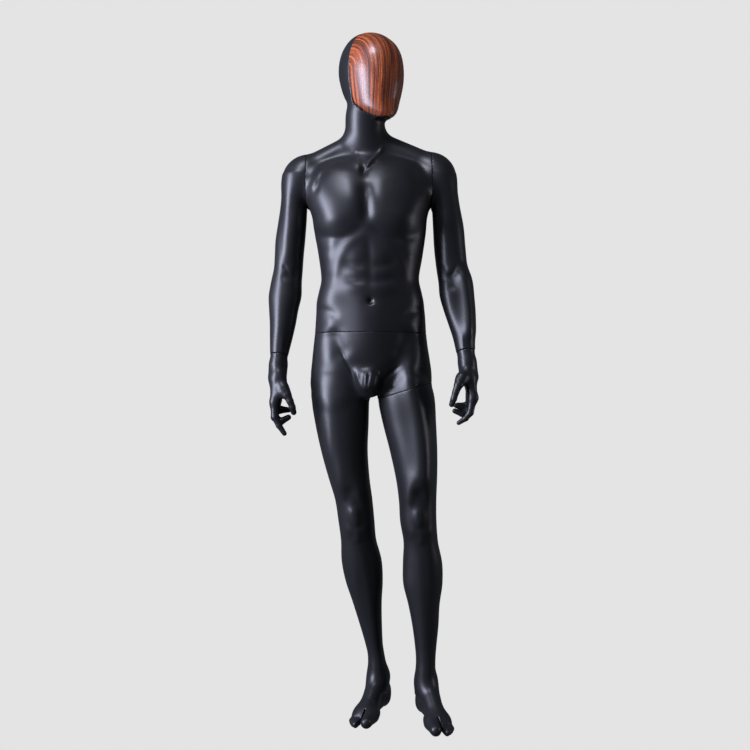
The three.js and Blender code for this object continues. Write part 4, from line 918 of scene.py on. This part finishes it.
def border(outside, low, high, halvings):
    """The values between low and high at which outside() turns true."""
    for _ in range(halvings):
        middle = (low + high) / 2
        out = outside(middle)
        high, low = np.where(out, middle, high), np.where(out, low, middle)
    return low


def face():
    """The face plate, with its grain's place at every vertex.

    Rays from the head's middle meet its skin. An angle goes round the forward axis, a tilt away from it.
    """
    head = Stack(HEAD, 14, HEAD_YAW, HEAD_AXIS)
    c, s = turned(HEAD_YAW)
    side, ahead, up = np.array([c, s, 0]), np.array([s, -c, 0]), np.array([0, 0, 1.0])
    middle = np.array([*HEAD_AXIS, HEAD_MIDDLE_Z])
    sectors, rings = ((220, 64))
    around = np.linspace(0, 2 * math.pi, sectors, endpoint=False)

    def skin_point(angle, tilt, depth=0.0):
        d = (np.cos(tilt)[..., None] * ahead + (np.sin(tilt) * np.cos(angle))[..., None] * side
             + (np.sin(tilt) * np.sin(angle))[..., None] * up)
        reach = border(lambda t: head.distance(*np.moveaxis(middle + d * t[..., None], -1, 0)) + depth > 0,
                       np.zeros(d.shape[:-1]), np.full(d.shape[:-1], 190.0), 34)
        return middle + d * reach[..., None]

    edge = border(lambda tilt: face_side(*skin_point(around, tilt).T) > 0,
                  np.zeros(sectors), np.full(sectors, 2.4), 26)
    t = 1 - (1 - np.linspace(0, 1, rings + 1)[1:]) ** 1.25
    verts = [skin_point(np.zeros(1), np.zeros(1))]
    verts += list(skin_point(np.tile(around, (rings, 1)), t[:, None] * edge[None, :])[:-1])
    # The rounded edge, from the skin to the back, and then the back itself with a third of the rings.
    for angle, depth in ((0.006, 0.12), (0.001, 0.7), (0.0, 1.5), (0.0, PLATE)):
        verts.append(skin_point(around, edge - angle, depth))
    verts += [skin_point(around, k * edge, PLATE) for k in t[::-1][1::3]]
    verts.append(skin_point(np.zeros(1), np.zeros(1), PLATE))
    loops = len(verts) - 2
    last = 1 + (loops - 1) * sectors
    faces = []
    for j in range(sectors):
        k = (j + 1) % sectors
        faces.append((0, 1 + k, 1 + j))
        for a in range(1, last, sectors):
            b = a + sectors
            faces.append((a + j, a + k, b + k, b + j))
        faces.append((last + j, last + k, last + sectors))
    verts = np.concatenate(verts)
    local = verts - middle
    reach = np.hypot(local @ ahead, np.maximum(local[:, 2], 0)) + GRAIN["core"]
    across = np.arctan2(local @ side, reach) * GRAIN["across"]
    along = GRAIN["along"] * (local[:, 2] / GRAIN["half height"])
    return verts, faces, np.stack([across, along, np.zeros(len(verts))], 1)


# ===== Materials =====
class Nodes:
    """A node material under construction. A value given to a socket may be another node's output."""

    def __init__(self, name):
        self.material = bpy.data.materials.new(name)
        self.material.use_nodes = True
        self.tree = self.material.node_tree
        self.shader = self.tree.nodes["Principled BSDF"]

    def put(self, socket, value):
        if hasattr(value, "links"):
            self.tree.links.new(value, socket)
        else:
            socket.default_value = value

    def new(self, kind, **values):
        node = self.tree.nodes.new(kind)
        for key, value in values.items():
            if key in node.inputs:
                self.put(node.inputs[key], value)
            else:
                setattr(node, key, value)
        return node

    def place(self):
        """The point's place in the piece's own axes."""
        return self.new("ShaderNodeTexCoord").outputs["Object"]

    def stretched(self, source, scale):
        return self.new("ShaderNodeMapping", Vector=source, Scale=scale).outputs["Vector"]

    def noise(self, at, scale, detail=3.0, rough=0.5):
        node = self.new("ShaderNodeTexNoise", Vector=at, Scale=scale, Detail=detail, Roughness=rough)
        return node.outputs["Fac"]

    def ramp(self, source, stops):
        node = self.new("ShaderNodeValToRGB", Fac=source)
        points = node.color_ramp.elements
        while len(points) < len(stops):
            points.new(0.5)
        for point, (where, colour) in zip(points, stops):
            point.position = where
            point.color = (*colour, 1.0)
        return node.outputs["Color"]

    def span(self, source, low, high):
        node = self.new("ShaderNodeMapRange", **{"Value": source, "To Min": low, "To Max": high})
        return node.outputs["Result"]

    def multiplied(self, fac, a, b):
        """Colour a times colour b, by the share fac."""
        node = self.new("ShaderNodeMix", data_type="RGBA", blend_type="MULTIPLY")
        for i, value in ((0, fac), (6, a), (7, b)):
            self.put(node.inputs[i], value)
        return node.outputs[2]

    def bump(self, height, distance, strength):
        node = self.new("ShaderNodeBump", Height=height, Distance=distance, Strength=strength)
        self.set(normal=node.outputs["Normal"])

    def set(self, **values):
        names = {"colour": "Base Color", "coat": "Coat Weight", "coat_rough": "Coat Roughness",
                 "specular": "Specular IOR Level"}
        for key, value in values.items():
            self.put(self.shader.inputs[names.get(key, key.capitalize())], value)


def black_paint():
    m = Nodes("satin_black_paint")
    at = m.place()
    broad = m.noise(at, 7.0, 2.0)
    fine = m.noise(at, 420.0, 2.0)
    m.set(colour=m.ramp(broad, [(0.3, (0.0125, 0.0125, 0.0145)), (0.7, (0.0155, 0.0155, 0.0175))]),
          roughness=m.span(broad, 0.36, 0.42), specular=0.5)
    m.bump(fine, 0.00012, 0.25)
    return m.material


def disc_paint():
    m = Nodes("disc_paint")
    at = m.place()
    mottle = m.noise(at, 60.0, 4.0)
    m.set(colour=m.ramp(mottle, [(0.35, (0.012, 0.012, 0.013)), (0.7, (0.026, 0.026, 0.028))]),
          roughness=m.span(m.noise(at, 25.0), 0.5, 0.7))
    m.bump(m.noise(at, 900.0, 3.0), 0.0002, 0.5)
    return m.material


def steel(name, tint, rough):
    m = Nodes(name)
    at = m.place()
    m.set(colour=m.ramp(m.noise(at, 90.0, 3.0), [(0.3, tuple(c * 0.82 for c in tint)), (0.7, tint)]),
          metallic=1.0, roughness=m.span(m.noise(m.stretched(at, (1, 1, 18)), 60.0), rough, rough + 0.16))
    m.bump(m.noise(m.stretched(at, (1, 1, 25)), 240.0, 2.0), 0.0001, 0.4)
    return m.material


def wood():
    """Grain runs down the plate; its attribute holds (across, along) in metres."""
    m = Nodes("lacquered_rosewood")
    at = m.new("ShaderNodeAttribute", attribute_name="grain").outputs["Vector"]
    wander = m.noise(m.stretched(at, (14, 9, 1)), 1.0, 2.0)
    shift = m.new("ShaderNodeVectorMath", operation="MULTIPLY_ADD")
    for socket, value in zip(shift.inputs, (wander, (0.010, 0.0, 0.0), at)):
        m.put(socket, value)
    at = shift.outputs["Vector"]
    bands = m.noise(m.stretched(at, (110, 1.2, 1)), 1.0, 2.0, 0.5)
    colour = m.ramp(bands, [
        (0.28, (0.060, 0.012, 0.006)), (0.42, (0.19, 0.040, 0.012)), (0.52, (0.37, 0.084, 0.021)),
        (0.62, (0.60, 0.150, 0.034)), (0.74, (0.33, 0.068, 0.018))])
    streaks = m.noise(m.stretched(at, (430, 8, 1)), 1.0, 5.0, 0.7)
    dark = m.ramp(streaks, [(0.37, (0.10, 0.03, 0.03)), (0.46, (0.50, 0.36, 0.32)), (0.52, (1, 1, 1)),
                            (0.66, (1.7, 1.6, 1.3))])
    colour = m.multiplied(0.95, colour, dark)
    pores = m.noise(m.stretched(at, (1100, 150, 1)), 1.0, 2.0)
    colour = m.multiplied(0.8, colour, m.ramp(pores, [(0.38, (0.4, 0.28, 0.22)), (0.52, (1, 1, 1))]))
    m.set(colour=colour, roughness=m.span(streaks, 0.40, 0.55), coat=0.62, coat_rough=0.26)
    m.bump(pores, 0.00006, 0.3)
    return m.material


# ===== Build =====
FRONT, BACK = paint_front(), paint_back()
paint = black_paint()
discs = disc_paint()
zinc = steel("zinc_plated_steel", (0.55, 0.56, 0.58), 0.3)
nickel = steel("nickel_plate", (0.66, 0.64, 0.60), 0.16)
rosewood = wood()

finish_piece("upper_torso", *trunk(), "torso", "upper_torso_shell", paint, "shell")
finish_piece("hips_and_right_leg", *hips(), "pelvis", "pelvis_right_leg_shell", paint, "shell")
finish_piece("left_leg", *left_leg(), "left_leg", "left_leg_shell", paint, "shell")
for which in ("right", "left"):
    finish_piece(f"{which}_arm", *arm(which), f"{which}_arm", f"{which}_arm_shell", paint, "shell")
    finish_piece(f"{which}_hand_cast", *palm(which), f"{which}_hand", f"{which}_hand", paint, "shell")

verts, faces, grain = face()
plate = finish_piece("wood_face_plate", verts, faces, "face", "face_plate", rosewood, "face")
plate.data.attributes.new("grain", "FLOAT_VECTOR", "POINT").data.foreach_set("vector", grain.ravel())

COATS = {"magnet": nickel, "disc": discs, "screw": zinc, "plate": zinc, "peg": zinc, "socket": zinc}
for name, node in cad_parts.items():
    if node.type != "MESH":
        continue
    node.data.materials.clear()
    node.data.materials.append(next((coat for word, coat in COATS.items() if word in name), paint))

# ===== Stage, lights and camera =====
scene = bpy.context.scene
scene.view_settings.view_transform = "Standard"
PALE = (0.775, 0.775, 0.775)


def studio():
    world = bpy.data.worlds.new("studio")
    scene.world = world
    world.use_nodes = True
    tree = world.node_tree
    back = tree.nodes["Background"]
    back.inputs["Color"].default_value = (0.55, 0.58, 0.66, 1)
    back.inputs["Strength"].default_value = 0.135
    seen = tree.nodes.new("ShaderNodeBackground")
    seen.inputs["Color"].default_value = (*PALE, 1)
    path = tree.nodes.new("ShaderNodeLightPath")
    mix = tree.nodes.new("ShaderNodeMixShader")
    for i, source in enumerate((path.outputs["Is Camera Ray"], back.outputs[0], seen.outputs[0])):
        tree.links.new(source, mix.inputs[i])
    tree.links.new(mix.outputs[0], tree.nodes["World Output"].inputs["Surface"])


def floor():
    """It shows one pale tone and isn't seen in the paint."""
    r, below = 9.0, -0.0005
    mesh = bpy.data.meshes.new("studio_floor")
    mesh.from_pydata([(-r, -r, below), (r, -r, below), (r, r, below), (-r, r, below)], [], [(0, 1, 2, 3)])
    m = Nodes("studio_floor")
    m.put(m.tree.nodes["Material Output"].inputs["Surface"],
          m.new("ShaderNodeEmission", Color=(*PALE, 1)).outputs[0])
    mesh.materials.append(m.material)
    plane = bpy.data.objects.new("studio_floor", mesh)
    scene.collection.objects.link(plane)
    plane.visible_glossy = plane.visible_diffuse = False


def light(name, at, aim, size, power, colour):
    data = bpy.data.lights.new(name, "AREA")
    data.shape = "RECTANGLE"
    data.size, data.size_y = size
    data.energy = power
    data.color = colour
    lamp = bpy.data.objects.new(name, data)
    scene.collection.objects.link(lamp)
    direction = np.array(aim) - np.array(at)
    x, y, z = direction / np.linalg.norm(direction)
    lamp.location = at
    lamp.rotation_euler = (math.acos(-z), 0, math.atan2(y, x) - math.pi / 2)
    return lamp


studio()
floor()
light("key", (-2.45, -1.15, 1.6), (0, 0, 1.3), (1.1, 2.2), 140, (0.84, 0.88, 1.12))
light("over", (-0.62, -1.25, 3.3), (0, 0, 1.5), (0.55, 0.55), 29, (0.86, 0.90, 1.08))
light("side", (2.6, -0.1, 1.0), (0, 0, 1.0), (0.2, 1.3), 7, (0.96, 0.95, 1.1))

camera = bpy.data.cameras.new("camera")
camera.sensor_width = 36.0
camera.lens = 47.7
eye = bpy.data.objects.new("camera", camera)
scene.collection.objects.link(eye)
eye.location = (0.0080, -2.683, 0.9284)
eye.rotation_euler = (math.pi / 2, 0, 0)
scene.camera = eye
